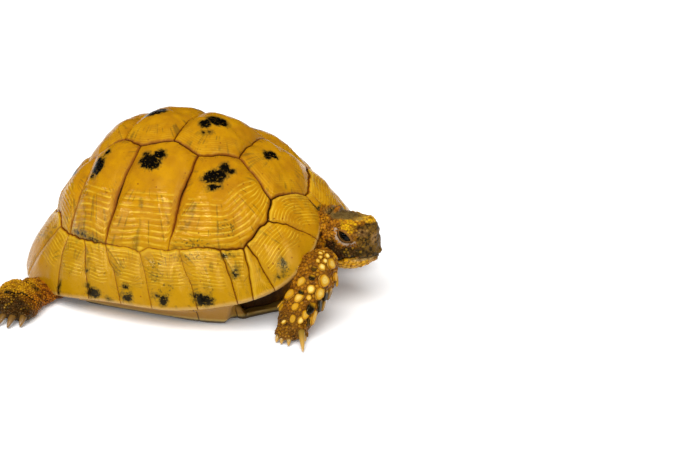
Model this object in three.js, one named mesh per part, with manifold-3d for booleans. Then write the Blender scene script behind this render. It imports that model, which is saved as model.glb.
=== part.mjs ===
// A spur-thighed tortoise at rest, life size: one closed solid for each scute of its shell
// and one for each part of its body. Millimetres, +Z up, head toward +X, left side toward +Y,
// lying on the plane z = 0. A scute is the horny plate that covers one field of the shell.
import * as THREE from "three";
import { mergeVertices } from "three/addons/utils/BufferGeometryUtils.js";
import Module from "manifold-3d";

const wasm = await Module();
wasm.setup();

// ---------------------------------------------------------------- driving dimensions

// The dome is a height over the ground plan, measured from the point under its highest place.
const DOME = {
  front: 75.5, // to the front rim
  rear: 84.3, // to the rear rim
  halfWidth: 62.8,
  height: 82,
  planPower: { front: 2.63, side: 2.3, rear: 2.54 }, // how square the rim is in plan
  slopePower: { front: 1.8, side: 2.2, rear: 2.57 }, // how late the dome falls away
  rimPower: { front: 1.02, side: 1.2, rear: 1.02 }, // how steeply it meets the rim
  rimHeight: { front: 37.5, side: 9.6, rear: 5.2 },
};
// The rim is set back and lifted over the neck.
const NOTCH = { depth: 7.5, lift: 4.5, halfAngle: 13 };

const SCUTE = { thickness: 3, seam: 0.32, vertebralCrown: 1.5, costalCrown: 1.5, marginalCrown: 0.7 };
// The plastron is flat out to bridgeStart, then curves up to climb at bridgeSlope.
const PLASTRON = { thickness: 3, seam: 0.32, bridgeStart: 48, bridgeCurve: 3, bridgeSlope: 0.95 };
// The trunk fills the shell: how much of the rim's radius it reaches, and its flat underside.
const TRUNK = {
  clearance: 0.8,
  reach: { front: 0.85, side: 0.955, rear: 0.87 },
  floor: 3.6,
  floorReach: { front: 56, rear: 66, side: 42, power: 3 },
  flankDrop: 0.55, // how far down the flank its widest line lies
  flankBulge: 1.5,
};
const GAP = 0.35; // between a limb and what it meets
const LIMB_CLEARANCE = 1; // between a limb and the inner faces of the scutes
const EYE = { at: [81.6, 8.2, 36.3], radius: 3.7 };
const MOUTH = { corner: 77.5, level: 24.2, gap: 0.3 };
const FLESH_POWER = 0.85; // under 1 fills out the corners of an ellipse
const CLAW_HOOK = 0.12; // a claw's rise at its middle, as a share of its length
const ANIMAL_REACH = 200; // larger than the animal from its middle, for cutting boxes

// Where the middle of the whole animal lies in the dome's own coordinates.
const CENTRE = { x: 5.56, y: 0 };

// ---------------------------------------------------------------- the shell's form

const rad = THREE.MathUtils.degToRad;

// A value that changes from front to side to rear around the shell.
function around(cosine, { front, side, rear }) {
  const forward = Math.max(cosine, 0) ** 2;
  const backward = Math.max(-cosine, 0) ** 2;
  return side + (front - side) * forward + (rear - side) * backward;
}

function notchShare(angle) {
  return Math.exp(-((angle / rad(NOTCH.halfAngle)) ** 2));
}

function rimRadius(angle) {
  const c = Math.cos(angle);
  const s = Math.sin(angle);
  const reach = c > 0 ? DOME.front : DOME.rear;
  const power = around(c, DOME.planPower);
  const sum = Math.abs(c / reach) ** power + Math.abs(s / DOME.halfWidth) ** power;
  return sum ** (-1 / power) - NOTCH.depth * notchShare(angle);
}

function rimHeight(angle) {
  const c = Math.cos(angle);
  const { front, side, rear } = DOME.rimHeight;
  const base = side + (front - side) * Math.max(c, 0) ** 3 + (rear - side) * Math.max(-c, 0) ** 2;
  return base + NOTCH.lift * notchShare(angle);
}

function domeHeight(x, y) {
  const angle = Math.atan2(y, x);
  const share = Math.min(Math.hypot(x, y) / rimRadius(angle), 1);
  const rim = rimHeight(angle);
  const fall = 1 - share ** around(Math.cos(angle), DOME.slopePower);
  return rim + (DOME.height - rim) * fall ** (1 / around(Math.cos(angle), DOME.rimPower));
}

// Unit normal of a surface z = height(x, y), pointing up.
function normalOf(height, x, y) {
  const step = 0.05;
  const dx = (height(x + step, y) - height(x - step, y)) / (2 * step);
  const dy = (height(x, y + step) - height(x, y - step)) / (2 * step);
  return new THREE.Vector3(-dx, -dy, 1).normalize();
}

function domePoint(x, y, offset) {
  const reach = 0.995 * rimRadius(Math.atan2(y, x)); // a normal is only taken inside the rim
  const inward = Math.min(1, reach / Math.max(Math.hypot(x, y), 1e-6));
  const normal = normalOf(domeHeight, x * inward, y * inward);
  return new THREE.Vector3(x, y, domeHeight(x, y)).addScaledVector(normal, offset);
}

// ---------------------------------------------------------------- scute corners

// Corners on the left half, as [x, y] in plan. The right half is its mirror.
const CORNERS = {
  v1Front: [59.5, 2.4],
  v1Side: [50.9, 22.4],
  v12: [31.2, 15.3],
  c12Top: [14.9, 24.1],
  v23: [0.3, 19.9],
  c23Top: [-15.2, 23.8],
  v34: [-26.5, 19.1],
  c34Top: [-42.3, 19.9],
  v45: [-53.7, 12.5],
  v5Side: [-66.8, 22.3],
  v5Rear: [-73, 10.5],
  m12: [52, 30.7],
  m23: [46, 41.6],
  m34: [45.2, 43.2],
  m45: [35.5, 47.6],
  m56: [17, 52],
  c12Low: [12.1, 52.7],
  m67: [-2.4, 54.1],
  c23Low: [-20.7, 53],
  m89: [-33.4, 50],
  c34Low: [-46, 45.4],
  m1011: [-53.2, 39.7],
};
// Seams between marginal scutes meet the rim at these angles from straight ahead, in degrees.
const RIM_SEAMS = [2.6, 14.3, 36.5, 44.1, 49.4, 64.1, 83.5, 98, 113.5, 128.9, 150.5, 169.5];

function corner(name, side) {
  const [x, y] = CORNERS[name];
  return { x, y: y * side };
}

function rimCorner(seam, side) {
  const angle = rad(RIM_SEAMS[seam]) * side;
  return { x: rimRadius(angle) * Math.cos(angle), y: rimRadius(angle) * Math.sin(angle), angle };
}

// Points along one side of a scute, its end left out. Along the rim they follow the rim.
function sidePoints(from, to, height, spacing) {
  const rise = height(to.x, to.y) - height(from.x, from.y);
  const length = Math.hypot(to.x - from.x, to.y - from.y, rise);
  const count = Math.max(1, Math.round(length / spacing));
  const alongRim = from.angle !== undefined && to.angle !== undefined;
  return Array.from({ length: count }, (_, i) => {
    const share = i / count;
    if (!alongRim)
      return new THREE.Vector2(from.x + (to.x - from.x) * share, from.y + (to.y - from.y) * share);
    let turn = to.angle - from.angle;
    if (Math.abs(turn) > Math.PI) turn -= 2 * Math.PI * Math.sign(turn);
    const angle = from.angle + turn * share;
    return new THREE.Vector2(Math.cos(angle), Math.sin(angle)).multiplyScalar(rimRadius(angle));
  });
}

// The scute's outline in plan, counter-clockwise, drawn in by half a seam.
function outlineOf(corners, height, spacing, seam) {
  const loop = corners.flatMap((from, i) =>
    sidePoints(from, corners[(i + 1) % corners.length], height, spacing),
  );
  if (THREE.ShapeUtils.area(loop) < 0) loop.reverse();
  return loop.map((point, i) => {
    const before = loop[(i + loop.length - 1) % loop.length];
    const after = loop[(i + 1) % loop.length];
    const along = after.clone().sub(before).normalize();
    return new THREE.Vector2(point.x - along.y * (seam / 2), point.y + along.x * (seam / 2));
  });
}

// ---------------------------------------------------------------- making solids

// Rounds made by a lathe profile are warped: place(share round the axis, radius, level) gives
// the new position of a lathe point. The result faces outward.
function warpedLathe(profile, segments, place) {
  const geometry = new THREE.LatheGeometry(
    profile.map(([radius, level]) => new THREE.Vector2(radius, level)),
    segments,
  );
  const position = geometry.getAttribute("position");
  for (let i = 0; i < position.count; i++) {
    const [x, y, z] = [position.getX(i), position.getY(i), position.getZ(i)];
    const radius = Math.hypot(x, z) < 1e-6 ? 0 : Math.hypot(x, z);
    const turn = radius === 0 ? 0 : (Math.atan2(x, z) / (2 * Math.PI) + 1) % 1;
    const point = place(Math.round(turn * segments) % segments, radius, y);
    position.setXYZ(i, point.x, point.y, point.z);
  }
  return closedOutward(geometry);
}

function closedOutward(geometry) {
  geometry.deleteAttribute("normal");
  geometry.deleteAttribute("uv");
  const merged = mergeVertices(geometry, 1e-4);
  const index = dropFlatTriangles(merged);
  if (signedVolume(merged, index) < 0)
    for (let i = 0; i < index.length; i += 3) [index[i + 1], index[i + 2]] = [index[i + 2], index[i + 1]];
  merged.setIndex(index);
  return merged;
}

// A lathe leaves triangles with two corners in one place at its axis.
function dropFlatTriangles(geometry) {
  const from = Array.from(geometry.index.array);
  const kept = [];
  for (let i = 0; i < from.length; i += 3) {
    const [a, b, c] = from.slice(i, i + 3);
    if (a !== b && b !== c && c !== a) kept.push(a, b, c);
  }
  return kept;
}

function signedVolume(geometry, index) {
  const position = geometry.getAttribute("position");
  const [a, b, c] = [new THREE.Vector3(), new THREE.Vector3(), new THREE.Vector3()];
  let volume = 0;
  for (let i = 0; i < index.length; i += 3) {
    a.fromBufferAttribute(position, index[i]);
    b.fromBufferAttribute(position, index[i + 1]);
    c.fromBufferAttribute(position, index[i + 2]);
    volume += a.dot(b.cross(c)) / 6;
  }
  return volume;
}

function toSolid(geometry) {
  const plain = geometry.getAttribute("normal") ? closedOutward(geometry.clone()) : geometry;
  return new wasm.Manifold(
    new wasm.Mesh({
      numProp: 3,
      vertProperties: new Float32Array(plain.getAttribute("position").array),
      triVerts: new Uint32Array(plain.index.array),
    }),
  );
}

function fromSolid(solid) {
  const mesh = solid.getMesh();
  return new THREE.BufferGeometry()
    .setAttribute("position", new THREE.BufferAttribute(mesh.vertProperties, 3))
    .setIndex(new THREE.BufferAttribute(mesh.triVerts, 1));
}

// The largest connected piece of a cut solid.
function mainPiece(solid) {
  return solid.decompose().reduce((best, piece) => (piece.volume() > best.volume() ? piece : best));
}

function boxSolid(low, high) {
  const size = high.map((value, i) => value - low[i]);
  const box = new THREE.BoxGeometry(...size);
  box.translate(...low.map((value, i) => value + size[i] / 2));
  return toSolid(box);
}

// A plate over a plan outline: its outer face rises to a crown at the centre.
function plateGeometry({ outline, centre, outerPoint, crown, thickness, outerRings, innerRings }) {
  const profile = [
    ...outerRings.map((ring) => [ring, 1]),
    ...innerRings.toReversed().map((ring) => [ring, 0]),
  ];
  return warpedLathe(profile, outline.length, (index, ring, level) => {
    const x = centre.x + (outline[index].x - centre.x) * ring;
    const y = centre.y + (outline[index].y - centre.y) * ring;
    return outerPoint(x, y, level === 1 ? crown * (1 - ring * ring) : -thickness);
  });
}

function centroid(corners) {
  const sum = corners.reduce((total, { x, y }) => total.add(new THREE.Vector2(x, y)), new THREE.Vector2());
  return sum.divideScalar(corners.length);
}

// ---------------------------------------------------------------- materials

function finish(color, roughness) {
  return new THREE.MeshStandardMaterial({ color, roughness, metalness: 0 });
}

const FINISH = {
  shell: () => finish(0xd6a020, 0.42),
  underside: () => finish(0xb09840, 0.5),
  skin: () => finish(0x8a5a24, 0.7),
  scale: () => finish(0xb98a34, 0.6),
  eye: () => finish(0x0d0a08, 0.08),
};

const tortoise = new THREE.Group();

function addPart(name, geometry, material) {
  const mesh = new THREE.Mesh(geometry, material);
  mesh.name = name;
  mesh.position.set(-CENTRE.x, -CENTRE.y, 0);
  tortoise.add(mesh);
}

// ---------------------------------------------------------------- carapace

const LARGE_SPACING = 9.5;
const MARGINAL_SPACING = 11;

function addScute(name, corners, centre, crown, spacing, isLarge) {
  const outline = outlineOf(corners, domeHeight, spacing, SCUTE.seam);
  addPart(
    name,
    plateGeometry({
      outline,
      centre,
      outerPoint: domePoint,
      crown,
      thickness: SCUTE.thickness,
      outerRings: isLarge ? [0, 0.35, 0.75, 1] : [0, 0.55, 1],
      innerRings: isLarge ? [0, 0.55, 1] : [0, 1],
    }),
    FINISH.shell(),
  );
}

function addMidlineScute(name, leftCorners, crown, isLarge) {
  const right = leftCorners.map(({ x, y, angle }) => ({ x, y: -y, angle: angle && -angle }));
  const corners = [...leftCorners, ...right.toReversed()];
  addScute(name, corners, centroid(corners), crown, isLarge ? LARGE_SPACING : MARGINAL_SPACING, isLarge);
}

const VERTEBRALS = [
  ["v1Front", "v1Side", "v12"],
  ["v12", "c12Top", "v23"],
  ["v23", "c23Top", "v34"],
  ["v34", "c34Top", "v45"],
  ["v45", "v5Side", "v5Rear"],
];
const COSTALS = [
  ["v1Side", "m12", "m23", "m34", "m45", "m56", "c12Low", "c12Top", "v12"],
  ["c12Top", "c12Low", "m67", "c23Low", "c23Top", "v23"],
  ["c23Top", "c23Low", "m89", "c34Low", "c34Top", "v34"],
  ["c34Top", "c34Low", "m1011", "v5Side", "v45"],
];
// The upper corners of each marginal scute, from front to rear.
const MARGINALS = [
  ["v1Front", "v1Side", "m12"],
  ["m12", "m23"],
  ["m23", "m34"],
  ["m34", "m45"],
  ["m45", "m56"],
  ["m56", "c12Low", "m67"],
  ["m67", "c23Low"],
  ["c23Low", "m89"],
  ["m89", "c34Low"],
  ["c34Low", "m1011"],
  ["m1011", "v5Side", "v5Rear"],
];

function addCarapace() {
  const last = RIM_SEAMS.length - 1;
  addMidlineScute("cervical", [rimCorner(0, 1), corner("v1Front", 1)], SCUTE.marginalCrown, false);
  VERTEBRALS.forEach((names, i) => {
    addMidlineScute(`vertebral_${i + 1}`, names.map((name) => corner(name, 1)), SCUTE.vertebralCrown, true);
  });
  addMidlineScute("supracaudal", [corner("v5Rear", 1), rimCorner(last, 1)], SCUTE.marginalCrown, false);
  for (const [sideName, side] of [["left", 1], ["right", -1]]) {
    COSTALS.forEach((names, i) => {
      const corners = names.map((name) => corner(name, side));
      const name = `costal_${sideName}_${i + 1}`;
      addScute(name, corners, centroid(corners), SCUTE.costalCrown, LARGE_SPACING, true);
    });
    MARGINALS.forEach((names, i) => {
      const top = names.map((name) => corner(name, side)).toReversed();
      const corners = [...top, rimCorner(i, side), rimCorner(i + 1, side)];
      addScute(
        `marginal_${sideName}_${i + 1}`,
        corners,
        centroid(corners),
        SCUTE.marginalCrown,
        MARGINAL_SPACING,
        false,
      );
    });
  }
}

// ---------------------------------------------------------------- plastron, the shell's underside

// Corners on the left half in plan. The names ending in Bridge climb to the carapace rim.
const BELLY = {
  gularFront: [66, 0],
  gularSide: [64.5, 13],
  humeralFront: [56, 25.5],
  gularRear: [51, 0],
  humeralSide: [45.5, 36.5],
  pectoralFront: [37, 45.5],
  humeralRear: [32, 0],
  pectoralBridge: [39, 54.5],
  abdominalFront: [24.5, 48.5],
  abdominalBridge: [27.5, 57.2],
  pectoralRear: [22, 0],
  abdominalRearBridge: [-33, 55.6],
  abdominalRear: [-36, 48.5],
  abdominalMiddle: [-20, 0],
  femoralSide: [-57, 37],
  femoralRear: [-50, 0],
  analSide: [-74, 19],
  analTip: [-77, 11],
  analNotch: [-69, 0],
};
const BELLY_SCUTES = {
  gular: ["gularFront", "gularSide", "humeralFront", "gularRear"],
  humeral: ["gularRear", "humeralFront", "humeralSide", "pectoralFront", "humeralRear"],
  pectoral: [
    "humeralRear",
    "pectoralFront",
    "pectoralBridge",
    "abdominalBridge",
    "abdominalFront",
    "pectoralRear",
  ],
  abdominal: [
    "pectoralRear",
    "abdominalFront",
    "abdominalBridge",
    "abdominalRearBridge",
    "abdominalRear",
    "abdominalMiddle",
  ],
  femoral: ["abdominalMiddle", "abdominalRear", "femoralSide", "femoralRear"],
  anal: ["femoralRear", "femoralSide", "analSide", "analTip", "analNotch"],
};

// Flat on the floor, then climbing at the bridge toward the carapace rim.
function bellyHeight(x, y) {
  const beyond = Math.max(0, Math.abs(y) - PLASTRON.bridgeStart);
  return (PLASTRON.bridgeSlope * beyond ** 2) / (beyond + PLASTRON.bridgeCurve);
}

function bellyPoint(x, y, offset) {
  const up = normalOf(bellyHeight, x, y);
  return new THREE.Vector3(x, y, bellyHeight(x, y)).addScaledVector(up, -offset);
}

function bellyCorner(name, side) {
  const [x, y] = BELLY[name];
  return { x, y: y * side };
}

const BELLY_SPACING = 26;
const BELLY_RINGS = [0, 0.72, 1];
const BRIDGED_MIDDLE = 30; // from the midline, for the two scutes that reach up the bridge

function addPlastron() {
  for (const [sideName, side] of [["left", 1], ["right", -1]]) {
    for (const [name, corners] of Object.entries(BELLY_SCUTES)) {
      const placed = corners.map((key) => bellyCorner(key, side));
      const outline = outlineOf(placed, bellyHeight, BELLY_SPACING, PLASTRON.seam);
      const middle = centroid(placed);
      if (name === "pectoral" || name === "abdominal") middle.y = BRIDGED_MIDDLE * side;
      addPart(
        `${name}_${sideName}`,
        plateGeometry({
          outline,
          centre: middle,
          outerPoint: bellyPoint,
          crown: 0,
          thickness: PLASTRON.thickness,
          outerRings: BELLY_RINGS,
          innerRings: BELLY_RINGS,
        }),
        FINISH.underside(),
      );
    }
  }
}

// ---------------------------------------------------------------- trunk and cutters

function floorRadius(angle) {
  const { front, rear, side, power } = TRUNK.floorReach;
  const c = Math.cos(angle);
  const s = Math.sin(angle);
  return (Math.abs(c / (c > 0 ? front : rear)) ** power + Math.abs(s / side) ** power) ** (-1 / power);
}

// The profile runs over the trunk's top (level 3), down its flank (2) and under it (1).
const TRUNK_PROFILE = [[0, 3], [0.3, 3], [0.55, 3], [0.78, 3], [1, 3], [1, 2], [1, 1], [0, 1]];
const TRUNK_SEGMENTS = 32;

function trunkSolid(grow) {
  const depth = SCUTE.thickness + TRUNK.clearance - grow;
  return toSolid(
    warpedLathe(TRUNK_PROFILE, TRUNK_SEGMENTS, (index, ring, level) => {
      const angle = (2 * Math.PI * index) / TRUNK_SEGMENTS;
      const [c, s] = [Math.cos(angle), Math.sin(angle)];
      const out = rimRadius(angle) * around(c, TRUNK.reach) + grow;
      const top = domePoint(out * ring * c, out * ring * s, -depth);
      if (level === 3) return top;
      const low = (floorRadius(angle) + grow) * ring;
      const under = new THREE.Vector3(low * c, low * s, TRUNK.floor - grow);
      if (level === 1) return under;
      return top.lerp(under, TRUNK.flankDrop).addScaledVector(new THREE.Vector3(c, s, 0), TRUNK.flankBulge);
    }),
  );
}

// The space that the carapace takes up, with a gap round it.
const SPACE_RINGS = [0, 0.3, 0.55, 0.8, 0.92, 1];
const SPACE_SEGMENTS = 72;
const SPACE_ABOVE = 4;

function carapaceSpace() {
  const profile = [
    ...SPACE_RINGS.map((ring) => [ring, 1]),
    ...SPACE_RINGS.toReversed().map((ring) => [ring, 0]),
  ];
  return toSolid(
    warpedLathe(profile, SPACE_SEGMENTS, (index, ring, level) => {
      const angle = (2 * Math.PI * index) / SPACE_SEGMENTS;
      const out = rimRadius(angle) * ring + (ring === 1 ? 2 * GAP : 0);
      const offset = level === 1 ? SPACE_ABOVE : -SCUTE.thickness - LIMB_CLEARANCE;
      return domePoint(out * Math.cos(angle), out * Math.sin(angle), offset);
    }),
  );
}

// The space that the plastron and its bridges take up, with a gap round it.
function plastronSpace() {
  const bellyOutline = bellyLoop();
  const belly = warpedLathe([[0, 1], [1, 1], [1, 0], [0, 0]], bellyOutline.length, (index, ring, level) => {
    const point = bellyOutline[index].clone().multiplyScalar(ring);
    return new THREE.Vector3(point.x, point.y, level === 1 ? PLASTRON.thickness + GAP : -1);
  });
  return toSolid(belly).add(bridgeSpace(1)).add(bridgeSpace(-1));
}

// The plastron's outline in plan, a little larger than the scutes.
function bellyLoop() {
  const names = [
    "gularFront", "gularSide", "humeralFront", "humeralSide", "pectoralFront", "abdominalFront",
    "abdominalRear", "femoralSide", "analSide", "analTip",
  ];
  const left = names.map((name) => new THREE.Vector2(...BELLY[name]));
  const right = left.slice(1).map(({ x, y }) => new THREE.Vector2(x, -y));
  return [...left, ...right.toReversed()].map((point) => {
    const outward = point.clone().normalize();
    return point.addScaledVector(outward, GAP * 2);
  });
}

// A sloping box round each bridge.
const BRIDGE = { length: 78, width: 14, middle: [4, 53.5, 4.4] };

function bridgeSpace(side) {
  const box = new THREE.BoxGeometry(BRIDGE.length, BRIDGE.width, PLASTRON.thickness + 2 * GAP);
  box.rotateX(Math.atan(PLASTRON.bridgeSlope) * side);
  box.translate(...mirrored(BRIDGE.middle, side));
  return toSolid(box);
}

// ---------------------------------------------------------------- limbs

// A rounded body part along a path. Each station is [x, y, z, half width, half height].
// The width lies along `across`, the height along +Z.
function limbGeometry({ stations, across, segments, rings }) {
  const path = new THREE.CatmullRomCurve3(stations.map(([x, y, z]) => new THREE.Vector3(x, y, z)));
  const halves = new THREE.CatmullRomCurve3(stations.map(([, , , w, h]) => new THREE.Vector3(w, h, 0)));
  const profile = [[0, 0], ...Array.from({ length: rings + 1 }, (_, i) => [1, i / rings]), [0, 1]];
  return warpedLathe(profile, segments, (index, ring, level) => {
    const at = path.getPoint(level);
    const half = halves.getPoint(level);
    const forward = path.getTangent(level);
    const up = new THREE.Vector3().crossVectors(forward, across).normalize();
    if (up.z < 0) up.negate();
    const turn = (2 * Math.PI * index) / segments;
    const [wide, high] = [roundedBox(Math.cos(turn)) * half.x, roundedBox(Math.sin(turn)) * half.y];
    return at.addScaledVector(across, wide * ring).addScaledVector(up, high * ring);
  });
}

// Fills out a circle's corners a little, as flesh over bone is squarer than an ellipse.
function roundedBox(value) {
  return Math.sign(value) * Math.abs(value) ** FLESH_POWER;
}

// A claw from its root to its tip, slightly hooked down.
function clawSolid(root, tip, radius) {
  const from = new THREE.Vector3(...root);
  const to = new THREE.Vector3(...tip);
  const middle = from.clone().lerp(to, 0.5);
  middle.z += from.distanceTo(to) * CLAW_HOOK;
  const path = new THREE.QuadraticBezierCurve3(from, middle, to);
  const side = new THREE.Vector3().crossVectors(to.clone().sub(from), new THREE.Vector3(0, 0, 1)).normalize();
  const segments = 6;
  const profile = [[0, 0], [1, 0], [0.85, 0.35], [0.55, 0.7], [0.22, 1], [0, 1]];
  return toSolid(
    warpedLathe(profile, segments, (index, ring, level) => {
      const at = path.getPoint(level);
      const up = new THREE.Vector3().crossVectors(side, path.getTangent(level)).normalize();
      const turn = (2 * Math.PI * index) / segments;
      return at
        .addScaledVector(side, Math.cos(turn) * ring * radius)
        .addScaledVector(up, Math.sin(turn) * ring * radius);
    }),
  );
}

const ABOVE_FLOOR = boxSolid([-ANIMAL_REACH, -ANIMAL_REACH, 0], [ANIMAL_REACH, ANIMAL_REACH, ANIMAL_REACH]);

function mirrored([x, y, z, ...rest], side) {
  return [x, y * side, z, ...rest];
}

// Each leg is described for the left side; side -1 mirrors it.
const LEGS = {
  foreleg_right: {
    side: -1,
    across: [0.86, -0.2, 0.47],
    stations: [
      [54, 20, 25, 9, 8],
      [66, 25, 27, 11, 8.5],
      [74, 32, 21.5, 12.5, 8],
      [73, 41, 11, 10.5, 7.5],
      [72.5, 49, 4.5, 9.5, 6],
      [73, 52.5, 3.2, 7.5, 4],
    ],
    claws: [
      [[78.5, 50, 5.4], [82, 60, 0.8], 1.9],
      [[74.6, 52, 4.8], [76.5, 60.5, 0.8], 1.8],
      [[70.6, 52.5, 4.4], [70.6, 59.5, 0.8], 1.7],
      [[66.8, 51.5, 4.2], [65.5, 57.5, 0.8], 1.6],
      [[64, 48.5, 4], [61.5, 53, 0.8], 1.5],
    ],
  },
  foreleg_left: {
    side: 1,
    across: [0.92, -0.1, 0.38],
    stations: [
      [52, 20, 24, 9, 8],
      [61, 27, 24, 10.5, 8.5],
      [67, 33, 17, 11.5, 8],
      [65, 38, 9, 10.5, 7],
      [64.5, 42.5, 4.3, 9.5, 5.6],
      [64.8, 46, 3.2, 7.5, 4],
    ],
    claws: [
      [[70.2, 43.6, 5.4], [74.5, 51.5, 0.8], 1.9],
      [[66.6, 45.6, 4.8], [69, 53.5, 0.8], 1.8],
      [[62.6, 46, 4.4], [63, 53, 0.8], 1.7],
      [[58.8, 45, 4.2], [57.5, 51, 0.8], 1.6],
      [[56.2, 42, 4], [53.5, 46.5, 0.8], 1.5],
    ],
  },
  hind_leg_right: {
    side: -1,
    across: [1, 0.12, 0],
    stations: [
      [-42, 32, 9.5, 10, 6],
      [-50, 45, 8, 11.5, 7],
      [-57, 57, 7.5, 12.5, 7.5],
      [-59, 67, 7.6, 11.5, 7.6],
      [-58, 75, 6, 10.5, 6],
      [-57.5, 79.5, 4.2, 8, 4],
    ],
    claws: [
      [[-50.6, 77.8, 4.4], [-49.6, 85.4, 0.8], 2],
      [[-55, 79.5, 4.8], [-54.6, 87, 0.8], 2],
      [[-59.6, 79.8, 4.8], [-60, 87, 0.8], 1.9],
      [[-64, 78, 4.2], [-65.4, 84.6, 0.8], 1.8],
    ],
  },
  hind_leg_left: {
    side: 1,
    across: [1, -0.12, 0],
    stations: [
      [-43, 32, 9.5, 10, 6],
      [-52, 45, 8, 11.5, 7],
      [-60, 56, 7.5, 12.5, 7.5],
      [-63, 66, 7.6, 11.5, 7.6],
      [-62.5, 74, 6, 10.5, 6],
      [-62, 79, 4.2, 8, 4],
    ],
    claws: [
      [[-55.2, 77.4, 4.4], [-54.6, 85.4, 0.8], 2],
      [[-59.6, 79.2, 4.8], [-59.6, 87, 0.8], 2],
      [[-64.2, 79.4, 4.8], [-65, 87, 0.8], 1.9],
      [[-68.6, 77.6, 4.2], [-70.4, 84.4, 0.8], 1.8],
    ],
  },
};

function legSolid({ side, across, stations, claws }, taken) {
  const limb = limbGeometry({
    stations: stations.map((station) => mirrored(station, side)),
    across: new THREE.Vector3(across[0], across[1] * -side, across[2]).normalize(),
    segments: 16,
    rings: 11,
  });
  const whole = claws.reduce(
    (solid, [root, tip, radius]) => solid.add(clawSolid(mirrored(root, side), mirrored(tip, side), radius)),
    toSolid(limb),
  );
  return mainPiece(whole.intersect(ABOVE_FLOOR).subtract(taken));
}

// ---------------------------------------------------------------- head, neck and tail

// Stations along the head: [x, half width, top, bottom].
const HEAD = [
  [66.5, 10.5, 37.4, 21],
  [69, 11.6, 39.8, 19.4],
  [71.5, 12.2, 42.4, 18.4],
  [74.5, 12.4, 43.7, 17.8],
  [78, 12.3, 43.6, 17.4],
  [82, 11.7, 43.4, 17.4],
  [86, 10.2, 43.2, 18.2],
  [89.5, 8.2, 42.8, 19.6],
  [92.5, 6, 41.4, 21.6],
  [94.4, 3.8, 38.2, 23.4],
  [95.2, 1.8, 33, 25.6],
];

function headSolid() {
  const rows = HEAD.length;
  const profile = [[0, 0], ...HEAD.map((_, i) => [1, i]), [0, rows - 1]];
  const segments = 22;
  return toSolid(
    warpedLathe(profile, segments, (index, ring, level) => {
      const [x, half, top, bottom] = HEAD[Math.round(level)];
      const turn = (2 * Math.PI * index) / segments;
      const middle = (top + bottom) / 2 - 1;
      const rise = Math.sin(turn) > 0 ? top - middle : middle - bottom;
      return new THREE.Vector3(
        x,
        half * roundedBox(Math.cos(turn)) * ring,
        middle + rise * roundedBox(Math.sin(turn)) * ring,
      );
    }),
  );
}

function eyeGeometry(radius, side) {
  const eye = new THREE.SphereGeometry(radius, 14, 9);
  eye.rotateX(Math.PI / 2);
  eye.translate(EYE.at[0], EYE.at[1] * side, EYE.at[2]);
  return closedOutward(eye);
}

function addHead(taken) {
  const socket = EYE.radius + GAP;
  const whole = headSolid()
    .subtract(toSolid(eyeGeometry(socket, 1)))
    .subtract(toSolid(eyeGeometry(socket, -1)))
    .subtract(taken);
  const { corner: start, level, gap } = MOUTH;
  const upper = boxSolid([start, -ANIMAL_REACH, 0], [ANIMAL_REACH, ANIMAL_REACH, level + gap / 2]);
  const lower = boxSolid([start + gap, -ANIMAL_REACH, 0], [ANIMAL_REACH, ANIMAL_REACH, level - gap / 2]);
  addPart("head", fromSolid(mainPiece(whole.subtract(upper))), FINISH.scale());
  addPart("lower_jaw", fromSolid(mainPiece(whole.intersect(lower))), FINISH.scale());
  addPart("eye_left", eyeGeometry(EYE.radius, 1), FINISH.eye());
  addPart("eye_right", eyeGeometry(EYE.radius, -1), FINISH.eye());
}

function addNeck(taken) {
  const neck = limbGeometry({
    stations: [[50, 0, 26, 11, 9], [57, 0, 28, 12, 10], [HEAD[0][0] - GAP, 0, 29.6, 10.5, 8.4]],
    across: new THREE.Vector3(0, 1, 0),
    segments: 18,
    rings: 6,
  });
  const ahead = boxSolid([HEAD[0][0] - GAP, -ANIMAL_REACH, 0], [ANIMAL_REACH, ANIMAL_REACH, ANIMAL_REACH]);
  addPart("neck", fromSolid(mainPiece(toSolid(neck).subtract(taken).subtract(ahead))), FINISH.skin());
}

function addTail(taken) {
  const tail = limbGeometry({
    stations: [
      [-62, 0, 9, 6, 4.5],
      [-71, 1, 7.6, 4.6, 3.4],
      [-77.5, 4, 6.4, 3, 2.2],
      [-79.5, 9, 5.6, 1.2, 1],
    ],
    across: new THREE.Vector3(0.3, 1, 0).normalize(),
    segments: 12,
    rings: 6,
  });
  addPart("tail", fromSolid(mainPiece(toSolid(tail).subtract(taken))), FINISH.skin());
}

// ---------------------------------------------------------------- the animal

addCarapace();
addPlastron();
const underside = plastronSpace();
addPart("trunk", fromSolid(mainPiece(trunkSolid(0).subtract(underside))), FINISH.skin());
const taken = carapaceSpace().add(underside).add(trunkSolid(GAP));
addHead(taken);
addNeck(taken);
addTail(taken);
const headRoom = headSolid();
for (const [name, leg] of Object.entries(LEGS))
  addPart(name, fromSolid(legSolid(leg, taken.add(headRoom))), FINISH.scale());

export default tortoise;
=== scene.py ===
"""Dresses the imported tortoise: horn scutes, one skin with its scales, claws and eyes.

Lengths are in millimetres in the shell's own frame, whose zero lies on the floor under the
dome's middle. `to_model` turns them into the model's metres as a piece is shown.
"""

import logging
import math
from collections.abc import Callable, Sequence
from dataclasses import dataclass, fields, replace
from enum import Enum
from typing import Any

import bmesh
import bpy
import numpy as np
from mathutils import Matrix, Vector
from mathutils.kdtree import KDTree


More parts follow.
